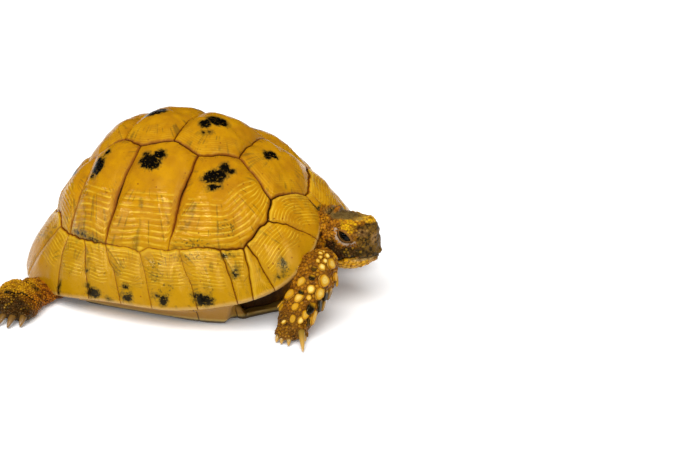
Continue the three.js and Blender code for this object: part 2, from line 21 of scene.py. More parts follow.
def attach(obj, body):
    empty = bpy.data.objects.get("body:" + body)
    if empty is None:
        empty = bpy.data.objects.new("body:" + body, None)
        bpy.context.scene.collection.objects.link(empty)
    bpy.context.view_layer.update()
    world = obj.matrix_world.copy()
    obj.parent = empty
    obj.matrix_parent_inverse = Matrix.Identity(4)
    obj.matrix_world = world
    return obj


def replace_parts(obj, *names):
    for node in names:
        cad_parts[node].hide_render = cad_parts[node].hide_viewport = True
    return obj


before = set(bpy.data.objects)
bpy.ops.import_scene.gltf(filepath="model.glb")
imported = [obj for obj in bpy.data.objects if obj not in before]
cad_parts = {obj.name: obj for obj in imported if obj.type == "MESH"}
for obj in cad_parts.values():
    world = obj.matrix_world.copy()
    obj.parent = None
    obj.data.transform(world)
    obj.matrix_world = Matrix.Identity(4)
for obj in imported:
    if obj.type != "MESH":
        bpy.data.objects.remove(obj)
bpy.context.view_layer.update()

LOG = logging.getLogger("tortoise")
Array = np.ndarray
Point = tuple[float, ...]
Rows = tuple[Point, ...]
Material = bpy.types.Material
Mesh = bpy.types.Mesh
Socket = bpy.types.NodeSocket

MM = 0.001
CENTRE = np.array([5.56, 0, 0])  # the model's middle, in the shell's own frame
TAU = 2 * math.pi
FAR = 50.0  # a distance that no marking reaches
FLOOR = 0.02  # nothing reaches lower


# ------------------------------------------------------------------ small helpers


def paint(code: str) -> Point:
    """Turns a paint code of six hexadecimal digits, as it looks, into linear light."""
    shown = [int(code[i : i + 2], 16) / 255 for i in (0, 2, 4)]
    return tuple(c / 12.92 if c <= 0.04045 else ((c + 0.055) / 1.055) ** 2.4 for c in shown)


def smooth(value: Array, low: float, high: float) -> Array:
    """Rises smoothly from 0 at `low` to 1 at `high`."""
    share = np.clip((value - low) / (high - low), 0, 1)
    return share * share * (3 - 2 * share)


def bell(value: Array, width: float) -> Array:
    """Gives a bump of height 1 at 0, with `width` as its reach."""
    return np.exp(-((value / width) ** 2))


def unit(vectors: Array) -> Array:
    """Scales vectors to length 1."""
    return vectors / np.maximum(np.linalg.norm(vectors, axis=-1, keepdims=True), 1e-9)


def dot(a: Array, b: Array) -> Array:
    """Multiplies matching rows into one number each."""
    return np.einsum("ij,ij->i", a, b)


def folded(points: Array) -> Array:
    """Mirrors points onto the left side."""
    return np.where([False, True, False], np.abs(points), points)


def spline(knots: Array, share: Array) -> Array:
    """Follows a smooth curve through knots.

    Args:
        knots: One row for each knot.
        share: How far along the curve, from 0 to 1.

    Returns:
        One row for each share.
    """
    count = len(knots) - 1
    place = np.clip(share, 0, 1) * count
    index = np.minimum(place.astype(int), count - 1)
    t = (place - index)[:, None]
    padded = np.vstack([2 * knots[0] - knots[1], knots, 2 * knots[-1] - knots[-2]])
    a, b, c, d = (padded[index + k] for k in range(4))
    bend = t * t * (a - 2.5 * b + 2 * c - 0.5 * d)
    return b + t * (c - a) / 2 + bend + t**3 * (1.5 * (b - c) + (d - a) / 2)


@dataclass(frozen=True)
class Ripple:
    """Smooth, repeatable unevenness made of crossing waves."""

    length: float  # the middle wave's length
    seed: int
    waves: int = 7

    def at(self, points: Array) -> Array:
        """Gives a value of about -1 to 1 for each point.

        Args:
            points: One row for each point, of two or three numbers.

        Returns:
            One value for each point.
        """
        rng = np.random.default_rng(self.seed)
        ways = unit(rng.normal(size=(self.waves, points.shape[1])))
        lengths = self.length * rng.uniform(0.65, 1.5, self.waves)
        phases = rng.uniform(0, TAU, self.waves)
        return np.sin(points @ (ways.T * TAU / lengths) + phases).sum(axis=1) / math.sqrt(self.waves)


def mesh_points(mesh: Mesh) -> Array:
    """Reads a mesh's points, one row each."""
    points = np.empty(len(mesh.vertices) * 3, np.float32)
    mesh.vertices.foreach_get("co", points)
    return points.reshape(-1, 3).astype(float)


def set_points(mesh: Mesh, points: Array) -> None:
    """Moves a mesh's points to the given rows."""
    mesh.vertices.foreach_set("co", points.astype(np.float32).ravel())
    mesh.update()


def mesh_normals(mesh: Mesh) -> Array:
    """Reads a mesh's normals at its points."""
    normals = np.empty(len(mesh.vertices) * 3, np.float32)
    mesh.vertex_normals.foreach_get("vector", normals)
    return normals.reshape(-1, 3).astype(float)


def mesh_triangles(mesh: Mesh) -> Array:
    """Reads the corners of a mesh's triangles, one row each."""
    mesh.calc_loop_triangles()
    corners = np.empty(len(mesh.loop_triangles) * 3, np.int32)
    mesh.loop_triangles.foreach_get("vertices", corners)
    return corners.reshape(-1, 3)


def set_attributes(mesh: Mesh, values: dict[str, Array]) -> None:
    """Stores one number, or one vector, for each point of a mesh.

    Args:
        mesh: The mesh.
        values: One number or one row of three for each point, by the name that materials read.
    """
    for name, rows in values.items():
        kind, key = ("FLOAT_VECTOR", "vector") if rows.ndim == 2 else ("FLOAT", "value")
        layer = mesh.attributes.new(name, kind, "POINT")
        layer.data.foreach_set(key, rows.astype(np.float32).ravel())


def placed(mesh: Mesh, points: Array) -> Mesh:
    """Moves a closed mesh's points and turns its faces round if they point inward.

    Args:
        mesh: The mesh.
        points: Where its points go.

    Returns:
        The same mesh.
    """
    set_points(mesh, points)
    a, b, c = mesh_points(mesh)[mesh_triangles(mesh)].transpose(1, 0, 2)
    if dot(a, np.cross(b, c)).sum() < 0:
        mesh.flip_normals()
    return mesh


def turned(profile: Sequence[Point], segments: int) -> tuple[Mesh, Array, Array, Array]:
    """Spins a profile about Z into a closed shape, to be warped into place.

    Args:
        profile: The radius and level of each point, from the axis back to the axis.
        segments: The number of steps in the full turn.

    Returns:
        The mesh, and each point's radius, step round the turn and level.
    """
    bm = bmesh.new()
    chain = [bm.verts.new((radius, 0, level)) for radius, level in profile]
    links = [bm.edges.new(pair) for pair in zip(chain, chain[1:])]
    bmesh.ops.spin(bm, geom=chain + links, cent=(0, 0, 0), axis=(0, 0, 1), dvec=(0, 0, 0), angle=TAU,
                   steps=segments, use_merge=True)
    bmesh.ops.remove_doubles(bm, verts=bm.verts, dist=1e-5)
    bmesh.ops.recalc_face_normals(bm, faces=bm.faces)
    mesh = as_mesh(bm)
    x, y, level = mesh_points(mesh).T
    step = np.rint(np.arctan2(y, x) / TAU * segments).astype(int) % segments
    return mesh, np.hypot(x, y), step, level


def tube(rings: int, segments: int) -> tuple[Mesh, Array, Array, Array]:
    """Spins a closed tube of radius 1.

    Args:
        rings: The number of its lengths.
        segments: The number of steps round it.

    Returns:
        What `turned` gives, with the turn in radians in place of its step.
    """
    profile = [(0, 0)] + [(1, i) for i in range(rings + 1)] + [(0, rings)]
    mesh, radius, step, level = turned(profile, segments)
    return mesh, radius, TAU * step / segments, level


def as_mesh(bm: bmesh.types.BMesh, mesh: Mesh | None = None) -> Mesh:
    """Writes a bmesh into a mesh and frees it.

    Args:
        bm: The bmesh.
        mesh: The mesh to write, or none for a new one.

    Returns:
        The mesh.
    """
    mesh = mesh or bpy.data.meshes.new("piece")
    bm.to_mesh(mesh)
    bm.free()
    return mesh


def linked(name: str, data: Any) -> bpy.types.Object:
    """Puts a mesh, a lamp or a camera into the scene."""
    thing = bpy.data.objects.new(name, data)
    bpy.context.scene.collection.objects.link(thing)
    return thing


def to_model(mesh: Mesh) -> None:
    """Turns a finished mesh from shell millimetres into the model's metres."""
    set_points(mesh, (mesh_points(mesh) - CENTRE) * MM)
    mesh.shade_smooth()


def show(name: str, mesh: Mesh, material: Material, slot: str) -> bpy.types.Object:
    """Puts a finished mesh into the scene as one piece of the model.

    Args:
        name: The piece's name.
        mesh: Its mesh, in shell millimetres.
        material: Its finish.
        slot: The record's material slot; not used.

    Returns:
        The new object.
    """
    to_model(mesh)
    mesh.name = name
    mesh.materials.clear()
    mesh.materials.append(material)
    piece = linked(name, mesh)
    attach(piece, "root")
    LOG.info("%s: %d faces", name, len(mesh.polygons))
    return piece


# ------------------------------------------------------------------ shader trees

Feed = Any  # a number, a colour, a vector or another node's output


class Tree:
    """Writes a shader tree: each call adds one node or more and gives the output."""

    def __init__(self, tree: bpy.types.NodeTree) -> None:
        """Starts writing into a tree."""
        self.tree = tree

    def add(self, kind: str, inputs: dict[Any, Feed] | None = None, **settings: Any) -> bpy.types.Node:
        """Adds a node.

        Args:
            kind: The node's type, without its ShaderNode prefix.
            inputs: What feeds each socket, by its name or number.
            settings: The node's own settings.

        Returns:
            The node.
        """
        node = self.tree.nodes.new(f"ShaderNode{kind}")
        for name, value in settings.items():
            setattr(node, name, value)
        for name, value in (inputs or {}).items():
            self.feed(node.inputs[name], value)
        return node

    def feed(self, socket: Socket, value: Feed) -> None:
        """Links another node's output to a socket, or sets its value."""
        if isinstance(value, Socket):
            self.tree.links.new(value, socket)
        else:
            socket.default_value = (*value, 1) if socket.type == "RGBA" else value

    def math(self, operation: str, a: Feed, b: Feed = 0.0) -> Socket:
        """Combines two numbers."""
        return self.add("Math", {0: a, 1: b}, operation=operation).outputs[0]

    def times(self, first: Feed, *others: Feed) -> Socket:
        """Multiplies numbers."""
        for other in others:
            first = self.math("MULTIPLY", first, other)
        return first

    def plus(self, a: Feed, b: Feed, share: float = 1) -> Socket:
        """Adds a share of the second number to the first."""
        return self.math("ADD", a, b if share == 1 else self.times(b, share))

    def less(self, a: Feed, b: Feed = 0.5) -> Socket:
        """Takes a number from another, a half if none is given."""
        return self.math("SUBTRACT", a, b)

    def fold(self, value: Feed) -> Socket:
        """Runs up from 0 to a half and down again with every whole number."""
        return self.math("PINGPONG", value, 0.5)

    def rise(self, value: Feed, low: Feed, high: Feed) -> Socket:
        """Rises smoothly from 0 at `low` to 1 at `high`."""
        inputs = {"Value": value, "From Min": low, "From Max": high}
        return self.add("MapRange", inputs, interpolation_type="SMOOTHSTEP").outputs[0]

    def mix(self, share: Feed, a: Feed, b: Feed) -> Socket:
        """Goes from colour `a` to colour `b`."""
        return self.add("Mix", {0: share, 6: a, 7: b}, data_type="RGBA").outputs[2]

    def over(self, under: Feed, colour: Feed, *masks: Feed) -> Socket:
        """Lays a colour over another where the product of the masks says."""
        return self.mix(self.times(*masks), under, colour)

    def noise(self, vector: Feed, length: float, detail: float = 3, rough: float = 0.55) -> Socket:
        """Gives cloudy noise of 0 to 1 whose clouds are about `length` across."""
        inputs = {"Vector": vector, "Scale": 1 / length, "Detail": detail, "Roughness": rough}
        return self.add("TexNoise", inputs).outputs[0]

    def cells(self, vector: Feed, length: float, feature: str = "DISTANCE_TO_EDGE") -> Socket:
        """Gives a pattern of cells about `length` across."""
        inputs = {"Vector": vector, "Scale": 1 / length}
        return self.add("TexVoronoi", inputs, feature=feature).outputs[0]

    def read(self, name: str, output: str = "Fac") -> Socket:
        """Reads one of the mesh's own attributes."""
        return self.add("Attribute", attribute_name=name).outputs[output]

    def stretch(self, vector: Feed, scale: Point, move: Point = (0, 0, 0)) -> Socket:
        """Scales and then moves a vector."""
        return self.add("Mapping", {"Vector": vector, "Scale": scale, "Location": move}).outputs[0]

    def axis(self, vector: Feed, index: int) -> Socket:
        """Gives one part of a vector."""
        return self.add("SeparateXYZ", {0: vector}).outputs[index]

    def vector(self, operation: str, a: Feed, b: Feed, key: Any = 1) -> Socket:
        """Combines two vectors, or a vector and the number that `key` names."""
        return self.add("VectorMath", {0: a, key: b}, operation=operation).outputs[0]

    def group(self, group: bpy.types.NodeTree, **inputs: Feed) -> Any:
        """Places a node group and gives its outputs."""
        node = self.add("Group")
        node.node_tree = group
        for name, value in inputs.items():
            self.feed(node.inputs[name], value)
        return node.outputs


# Horn and hide reflect some of their own colour.
HORN_TINT = (1.0, 0.74, 0.28)
WHITE = (1.0, 1.0, 1.0)


class Finish(Tree):
    """A material being written, round its Principled shader."""

    def __init__(self, name: str) -> None:
        """Starts the material and reads the place on the piece in millimetres."""
        self.material = bpy.data.materials.new(name)
        self.material.use_nodes = True
        super().__init__(self.material.node_tree)
        self.inputs = self.tree.nodes["Principled BSDF"].inputs
        self.place = self.stretch(self.add("TexCoord").outputs["Object"], (1 / MM,) * 3)

    def done(
        self, colour: Feed, rough: Feed, shine: float, bump: tuple[Feed, ...] = (), tint: Point = WHITE
    ) -> Material:
        """Feeds the shader.

        Args:
            colour: The surface's colour.
            rough: Its roughness.
            shine: How much it reflects head on.
            bump: The height, strength and depth of its finest relief, if any.
            tint: The colour of its reflections.

        Returns:
            The finished material.
        """
        self.feed(self.inputs["Base Color"], colour)
        self.feed(self.inputs["Roughness"], rough)
        self.feed(self.inputs["Specular IOR Level"], shine)
        self.feed(self.inputs["Specular Tint"], tint)
        if bump:
            node = self.add("Bump", dict(zip(("Height", "Strength", "Distance"), bump)))
            self.feed(self.inputs["Normal"], node.outputs[0])
        return self.material


class GroupTree(Tree):
    """A node group being written."""

    def __init__(self, name: str, inputs: dict[str, str], outputs: dict[str, str]) -> None:
        """Starts the group.

        Args:
            name: The group's name.
            inputs: Each input's name and kind: Float, Vector or Color.
            outputs: Each output's name and kind.
        """
        super().__init__(bpy.data.node_groups.new(name, "ShaderNodeTree"))
        for in_out, sockets in (("INPUT", inputs), ("OUTPUT", outputs)):
            for socket, kind in sockets.items():
                self.tree.interface.new_socket(name=socket, in_out=in_out, socket_type=f"NodeSocket{kind}")
        self.given = self.tree.nodes.new("NodeGroupInput").outputs
        self.out = self.tree.nodes.new("NodeGroupOutput").inputs

    def done(self, **values: Feed) -> bpy.types.NodeTree:
        """Feeds the group's outputs and gives the group."""
        for name, value in values.items():
            self.feed(self.out[name], value)
        return self.tree


class Effects:
    """The effects that several finishes share, each a node group built once."""

    def __init__(self) -> None:
        """Builds the groups."""
        self.growth, self.seam = self.build_growth(), self.build_seam()
        self.grain, self.hide = self.build_grain(), self.build_hide()

    def build_growth(self) -> bpy.types.NodeTree:
        """Builds the pale and brown lines and the fine relief that run round a scute.

        Returns:
            A group that turns the count of rings into them.
        """
        kinds = {"Pale": "Float", "Brown": "Float", "Height": "Float"}
        tree = GroupTree("growth_bands", {"Count": "Float", "Place": "Vector"}, kinds)
        place = tree.given["Place"]
        count = tree.plus(tree.given["Count"], tree.less(tree.noise(place, 7, 2)), 0.35)
        lively = tree.noise(tree.add("CombineXYZ", {0: count, 1: 0.5}).outputs[0], 1.4, 2)
        patchy = tree.rise(tree.noise(place, 5, 3), 0.3, 0.6)
        pale = tree.times(tree.rise(tree.fold(count), 0.26, 0.47), tree.rise(lively, 0.3, 0.55), patchy)
        fine = tree.fold(tree.times(count, 3.1))
        brown = tree.times(tree.rise(fine, 0.34, 0.48), tree.rise(lively, 0.66, 0.45))
        brown = tree.times(brown, tree.rise(tree.noise(place, 3, 3), 0.4, 0.65))
        return tree.done(Pale=pale, Brown=brown, Height=tree.plus(fine, pale))

    def build_seam(self) -> bpy.types.NodeTree:
        """Builds the dirt that gathers along seams.

        Returns:
            A group that turns the distance to the seam into a dark line and a brown ledge.
        """
        kinds = {"Distance": "Float", "Ledge": "Float", "Dirt": "Float", "Place": "Vector"}
        tree = GroupTree("seam_dirt", kinds, {"Line": "Float", "Stain": "Float"})
        place = tree.given["Place"]
        ragged = tree.less(tree.noise(place, 1.8, 4, 0.7))
        broad = tree.times(tree.plus(tree.noise(place, 9, 2), 0.5), tree.given["Dirt"])
        near = tree.plus(tree.given["Distance"], ragged, 0.5)
        ledge = tree.plus(tree.given["Ledge"], ragged, 1.4)
        line = tree.math("DIVIDE", near, tree.plus(0.14, broad, 0.5))
        stain = tree.math("DIVIDE", ledge, tree.plus(0.2, broad, 1.7))
        return tree.done(Line=tree.rise(line, 1, 0.3), Stain=tree.rise(stain, 1, 0.35))

    def build_grain(self) -> bpy.types.NodeTree:
        """Builds fine uneven grain.

        Returns:
            A group with a broad mottle, fine specks and a fine height, each 0 to 1.
        """
        kinds = {"Mottle": "Float", "Specks": "Float", "Height": "Float"}
        tree = GroupTree("grain", {"Place": "Vector"}, kinds)
        place = tree.given["Place"]
        mottle = tree.rise(tree.noise(place, 9, 5, 0.6), 0.3, 0.7)
        specks = tree.rise(tree.noise(place, 0.9, 3, 0.7), 0.62, 0.74)
        return tree.done(Mottle=mottle, Specks=specks, Height=tree.noise(place, 0.5, 4, 0.65))

    def build_hide(self) -> bpy.types.NodeTree:
        """Builds the markings that skin and scales share.

        Returns:
            A group that turns the place on the animal into the hide's colour.
        """
        tree = GroupTree("hide_markings", {"Place": "Vector"}, {"Colour": "Color"})
        place = tree.given["Place"]
        x, y, z = (tree.axis(place, index) for index in range(3))
        left = tree.add("CombineXYZ", {0: x, 1: tree.math("ABSOLUTE", y), 2: z}).outputs[0]
        warp = tree.add("TexNoise", {"Vector": place, "Scale": 1 / 2.5, "Detail": 3}).outputs[1]
        swing = tree.vector("SCALE", tree.vector("SUBTRACT", warp, (0.5, 0.5, 0.5)), 2.6, "Scale")
        both = tree.vector("ADD", left, swing)
        colour = tree.mix(tree.rise(tree.noise(place, 3.5, 4, 0.6), 0.35, 0.68), HIDE_BASE, HIDE_LIGHT)
        fine = tree.rise(tree.noise(place, 2, 5, 0.75), 0.45, 0.6)
        for patch in HIDE_PATCHES:
            move = tuple(-(c - o) / r for c, o, r in zip(patch.at, CENTRE, patch.size))
            local = tree.stretch(both, tuple(1 / r for r in patch.size), move)
            away = tree.add("VectorMath", {0: local}, operation="LENGTH").outputs["Value"]
            inside = tree.rise(away, 1 + patch.softness, 1 - patch.softness)
            broken = tree.mix(fine, paint(patch.colour), paint(patch.mottle))
            colour = tree.over(colour, broken, inside, patch.strength)
        return tree.done(Colour=colour)


@dataclass(frozen=True)
class Patch:
    """A patch of colour on the hide, the same on both sides of the animal."""

    at: Point  # its middle, on the left side
    size: Point  # its reach along X, Y and Z
    colour: str
    mottle: str  # the colour that breaks it up
    softness: float = 0.25  # how soft its edge is, as a share of its reach
    strength: float = 1.0  # how much it covers


HIDE_BASE, HIDE_LIGHT = paint("6a3a06"), paint("a86a0a")
# Places of painted shade in the folds of the hind legs, on the left side.
HIND_FOLD_SHADOWS = (
    (-58, 59.5, 11.5), (-53.5, 62, 11), (-49, 64.5, 9), (-47, 67, 6.5), (-46, 68.4, 4), (-61, 73.5, 12.5),
    (-57, 75, 12.3), (-53, 76.5, 11.5), (-49.5, 77.5, 9.5),
)
HIDE_PATCHES = (
    Patch((72, 8, 30), (9, 12, 16), "b87208", "6e3806", 0.4),  # cheek and neck
    Patch((78, 0, 44.4), (9.4, 9.4, 2.4), "7c6434", "5c4420"),  # grey crown
    Patch((74, 0, 47.2), (4, 10, 1.9), "c0740a", "8a4e08", 0.3),  # rim of the hood
    Patch((71, 9, 41.5), (2.2, 4, 5), "b0700a", "6a3a08", 0.4),  # rim of the hood, lower
    Patch((82.4, 9, 40.8), (4.2, 5, 3.4), "d6a406", "a8680a", 0.2),  # brow
    Patch((76.5, 12, 38), (3.4, 4, 7), "b07010", "5a2e06", 0.5),  # temple
    Patch((92.8, 0, 33), (7, 14, 10.4), "7c5818", "0e0703", 0.07),  # snout
    Patch((89.5, 9, 37.6), (3.6, 5, 1.9), "8e6a3c", "2e1804", 0.4, 0.8),  # before the eye
    Patch((94.2, 4.2, 35), (1.6, 2.4, 2.6), "b88a4c", "3a200c", 0.5, 0.8),  # nostril's rim
    Patch((90, 8, 40.2), (4.6, 3.4, 1.1), "2e1a06", "0e0602", 0.4, 0.9),  # painted shade along a fold on the snout
    Patch((85.5, 11, 28.6), (10, 6, 2.6), "2e2006", "0a0502", 0.35, 0.95),  # above the mouth
    Patch((96.4, 3.2, 34.2), (1.2, 2.2, 2.4), "1c0e06", "0e0602", 0.5, 0.85),  # nostril: painted shade in its opening
    Patch((91, 0, 43.4), (4.6, 4.6, 2.3), "dca60e", "a8700a", 0.2),  # yellow plates on the snout
    Patch((87.2, 3.4, 43.6), (3.6, 2.4, 1.3), "b8984a", "c8921a", 0.4, 0.9),  # pale edge of the crown
    Patch((87, 7, 21.4), (10, 14, 4.3), "e8ac14", "b06a08", 0.12),  # lower jaw
    Patch((90, 6, 24.4), (6, 6, 1), "c8a468", "a87a3a", 0.4, 0.9),  # pale lip of the jaw
    Patch((86, 8.5, 18.2), (11, 6, 1.7), "e0b458", "c89428", 0.4),  # pale edge of the jaw
    Patch((79.6, 13, 26.6), (2.8, 4, 3), "100602", "2c1204", 0.35),  # corner of the mouth: painted shade
    Patch((75.2, 13, 31), (3.2, 5, 3.8), "0c0602", "2c1204", 0.4),  # painted shade in the crease behind the cheek
    Patch((79, 0, 11), (17, 12, 5.6), "1c1004", "0c0602", 0.3),  # throat: dark skin with painted shade under the head
    Patch((71, 50, 5), (10, 9, 7.5), "80520e", "3a2006", 0.5, 0.85),  # forefoot
    Patch((-56, 58, 4), (16, 16, 10), "a85e08", "501f04", 0.4, 0.9),  # shin of the hind leg
    Patch((-61, 62, 13), (12, 13, 4), "c8920e", "8a5008", 0.4),  # its top
    Patch((-58, 79, 3), (13, 9.5, 9), "38220a", "0e0602", 0.25, 0.95),  # hind foot
    *(Patch(at, (2.6, 1.5, 2.6), "1c0a04", "0a0402", 0.4, 0.9) for at in HIND_FOLD_SHADOWS),
    Patch((83, 38, 16.5), (3.5, 6, 4.5), "1c0e04", "0a0502", 0.4, 0.85),  # front edge of the arm
    Patch((44, 40, 12), (20, 22, 17), "2c1004", "0c0402", 0.4, 0.95),  # armpit: painted shade under the foreleg
)


# ------------------------------------------------------------------ the shell's form


class Side(Enum):
    """The two sides of the animal, by the sign of Y."""

    LEFT = 1
    RIGHT = -1

    @property
    def word(self) -> str:
        """Gives the side's name in lower case."""
        return self.name.lower()

    def place(self, point: Any) -> Array:
        """Puts a point of the left side on this one."""
        return np.array(point, float) * (1, self.value, 1)


def round_shell(cosine: Array, front: float, side: float, rear: float) -> Array:
    """Changes a value from front over side to rear."""
    ahead, behind = np.maximum(cosine, 0) ** 2, np.maximum(-cosine, 0) ** 2
    return side + (front - side) * ahead + (rear - side) * behind


def surface_normal(height: Callable[[Array, Array], Array], x: Array, y: Array) -> Array:
    """Gives the upward normals of a surface that is a height over the plan."""
    step = 0.05
    dx = (height(x + step, y) - height(x - step, y)) / (2 * step)
    dy = (height(x, y + step) - height(x, y - step)) / (2 * step)
    return unit(np.stack([-dx, -dy, np.ones_like(dx)], axis=-1))


@dataclass(frozen=True)
class Dome:
    """The carapace's form, a height over its plan."""

    front: float = 75.5
    rear: float = 84.3
    half_width: float = 62.8
    top: float = 82.0
    plan_power: Point = (2.63, 2.3, 2.54)  # how square the rim is in front, beside and behind
    slope_power: Point = (1.8, 2.2, 2.57)  # how late the dome falls away
    rim_power: Point = (1.02, 1.2, 1.02)  # how steeply it meets the rim
    rim_front: float = 37.5
    rim_side: float = 9.6
    rim_rear: float = 5.2
    notch_depth: float = 7.5
    notch_lift: float = 4.5
    notch_angle: float = math.radians(13)
    normal_reach: float = 0.995  # a normal is only taken inside this share of the rim
    # Where the rim hangs lower: degrees from straight ahead, how far round and how far down.
    flares: Rows = ((30, 10, 1.8), (41, 15, 3), (138, 20, 3))
    flare_out: float = 0.35
    settled: float = 2.4  # how far the back falls in behind, between the standing plates

    def rim_radius(self, angle: Array) -> Array:
        """Gives the rim's distance from the middle in plan."""
        c, s = np.cos(angle), np.sin(angle)
        reach = np.where(c > 0, self.front, self.rear)
        power = round_shell(c, *self.plan_power)
        total = np.abs(c / reach) ** power + np.abs(s / self.half_width) ** power
        return total ** (-1 / power) - self.notch_depth * bell(angle, self.notch_angle)

    def rim_height(self, angle: Array) -> Array:
        """Gives the rim's height above the floor."""
        c = np.cos(angle)
        ahead, behind = np.maximum(c, 0) ** 3, np.maximum(-c, 0) ** 2
        base = self.rim_side + (self.rim_front - self.rim_side) * ahead
        notch = self.notch_lift * bell(angle, self.notch_angle)
        return base + (self.rim_rear - self.rim_side) * behind + notch

    def rim_drop(self, angle: Array) -> Array:
        """Gives how far the flared rim hangs down."""
        turn = np.degrees(np.abs(angle))
        return sum(depth * bell(turn - middle, reach) for middle, reach, depth in self.flares)

    def share(self, x: Array, y: Array) -> Array:
        """Gives how far out a place in plan is, 1 at the rim."""
        return np.minimum(np.hypot(x, y) / self.rim_radius(np.arctan2(y, x)), 1)

    def height(self, x: Array, y: Array) -> Array:
        """Gives the dome's height over a place in plan."""
        angle = np.arctan2(y, x)
        rim, c = self.rim_height(angle), np.cos(angle)
        fall = 1 - self.share(x, y) ** round_shell(c, *self.slope_power)
        return rim + (self.top - rim) * fall ** (1 / round_shell(c, *self.rim_power))

    def normal(self, plan: Array) -> Array:
        """Gives the dome's normals over places in plan."""
        reach = self.normal_reach * self.rim_radius(np.arctan2(plan[:, 1], plan[:, 0]))
        inward = np.minimum(1, reach / np.maximum(np.hypot(plan[:, 0], plan[:, 1]), 1e-6))[:, None]
        return surface_normal(self.height, *(plan * inward).T)

    def point(self, plan: Array, offset: Array | float) -> Array:
        """Gives points at an offset from the dome.

        Args:
            plan: One row of x and y for each point.
            offset: The distance out along the normal.

        Returns:
            One row of x, y and z for each point.
        """
        x, y = plan.T
        angle, share = np.arctan2(y, x), self.share(x, y)
        drop = self.rim_drop(angle) * smooth(share, 0.72, 1.0)
        out = self.flare_out * drop
        base = np.column_stack([x + out * np.cos(angle), y + out * np.sin(angle), self.height(x, y) - drop])
        settled = self.settled * smooth(-x, 26.0, 48.0) * (1 - smooth(share, 0.82, 0.95))
        return base + self.normal(plan) * (np.broadcast_to(offset, len(plan)) - settled)[:, None]


@dataclass(frozen=True)
class Belly:
    """The plastron's form: flat on the floor, then climbing at the bridge to meet the rim."""

    bridge_start: float = 48.0
    bridge_curve: float = 3.0
    bridge_slope: float = 0.95
    under_rim: float = 1.8
    meets_from: Point = (0.82, 0.975)  # shares of the rim's radius
    beside: Point = (42.0, 50.0)  # only this far from the midline
    notch_from: Point = (35.0, 44.0)  # it climbs again toward the notch for the foreleg
    notch_beside: Point = (39.0, 45.0)

    def height(self, x: Array, y: Array) -> Array:
        """Gives the plastron's height over a place in plan."""
        beyond = np.maximum(0, np.abs(y) - self.bridge_start)
        base = self.bridge_slope * beyond**2 / (beyond + self.bridge_curve)
        angle = np.arctan2(y, x)
        target = DOME.rim_height(angle) - DOME.rim_drop(angle) - self.under_rim
        meets = smooth(DOME.share(x, y), *self.meets_from) * smooth(np.abs(y), *self.beside)
        notch = smooth(x, *self.notch_from) * smooth(np.abs(y), *self.notch_beside)
        return base + (target - base) * np.maximum(meets, notch)

    def point(self, plan: Array, offset: Array | float) -> Array:
        """Gives points at an offset outward from the plastron, as `Dome.point` does."""
        base = np.column_stack([plan, self.height(*plan.T)])
        down = -surface_normal(self.height, *plan.T)
        return base + down * np.broadcast_to(offset, len(plan))[:, None]


DOME, BELLY = Dome(), Belly()

# Where seams meet, as x and y in plan on the left half; the right half mirrors it.
CORNERS: dict[str, Point] = {
    "v1_front": (59.5, 2.4), "v1_side": (50.9, 22.4), "v12": (31.2, 15.3), "c12_top": (14.9, 24.1),
    "v23": (0.3, 19.9), "c23_top": (-15.2, 23.8), "v34": (-26.5, 19.1), "c34_top": (-42.3, 19.9),
    "v45": (-53.7, 12.5), "v5_side": (-66.8, 22.3), "v5_rear": (-73, 10.5), "m12": (52, 30.7),
    "m23": (46, 41.6), "m34": (45.2, 43.2), "m45": (35.5, 47.6), "m56": (17, 52), "c12_low": (12.1, 52.7),
    "m67": (-2.4, 54.1), "c23_low": (-20.7, 53), "m89": (-33.4, 50), "c34_low": (-46, 45.4),
    "m1011": (-53.2, 39.7),
}
# Seams between marginal scutes meet the rim at these angles from straight ahead, in degrees.
RIM_SEAMS = (2.6, 14.3, 36.5, 44.1, 49.4, 64.1, 83.5, 98.0, 113.5, 128.9, 150.5, 169.5)

# Each scute's corners, from front to rear, and where its areola lies.
VERTEBRALS = {
    "v1_front v1_side v12": 42,
    "v12 c12_top v23": 14.3,
    "v23 c23_top v34": -15.5,
    "v34 c34_top v45": -39.5,
    "v45 v5_side v5_rear": -60.5,
}
COSTALS = {
    "v1_side m12 m23 m34 m45 m56 c12_low c12_top v12": (26, 29.8),
    "c12_top c12_low m67 c23_low c23_top v23": (-4.6, 31.6),
    "c23_top c23_low m89 c34_low c34_top v34": (-32.6, 29.6),
    "c34_top c34_low m1011 v5_side v45": (-53, 23),
}
# The upper corners of each marginal scute.
MARGINALS = (
    "v1_front v1_side m12", "m12 m23", "m23 m34", "m34 m45", "m45 m56", "m56 c12_low m67", "m67 c23_low",
    "c23_low m89", "m89 c34_low", "c34_low m1011", "m1011 v5_side v5_rear",
)


@dataclass(frozen=True)
class Corner:
    """A corner of a scute in plan."""

    x: float
    y: float
    angle: float | None = None  # from straight ahead, where it lies on the dome's rim
    edge: int | None = None  # its number along the plastron's free edge, where it lies there

    def freely_joins(self, other: "Corner") -> bool:
        """Tells whether the side to another corner is a free edge."""
        on_rim = self.angle is not None and other.angle is not None
        along = self.edge is not None and other.edge is not None and abs(self.edge - other.edge) == 1
        return on_rim or along


def corners_of(names: str, side: Side, step: int = 1) -> list[Corner]:
    """Finds corners by name on one side, backward if the step is -1."""
    return [Corner(CORNERS[name][0], CORNERS[name][1] * side.value) for name in names.split()[::step]]


def rim_corner(seam: int, side: Side) -> Corner:
    """Finds the corner where a seam meets the rim."""
    angle = math.radians(RIM_SEAMS[seam]) * side.value
    radius = float(DOME.rim_radius(np.array(angle)))
    return Corner(radius * math.cos(angle), radius * math.sin(angle), angle)


@dataclass(frozen=True)
class Outline:
    """A scute's outline in plan."""

    plan: Array  # one row for each point, counter-clockwise
    side: Array  # for each step to the next point, the number of the side it belongs to
    free: list[bool]  # for each side, whether it is a free edge


SEAM_BEND = tuple(Ripple(length, seed) for length, seed in ((10, 11), (10, 12), (3.4, 13), (3.4, 14)))
SEAM_SWAY, SEAM_JITTER = 0.3, 0.12


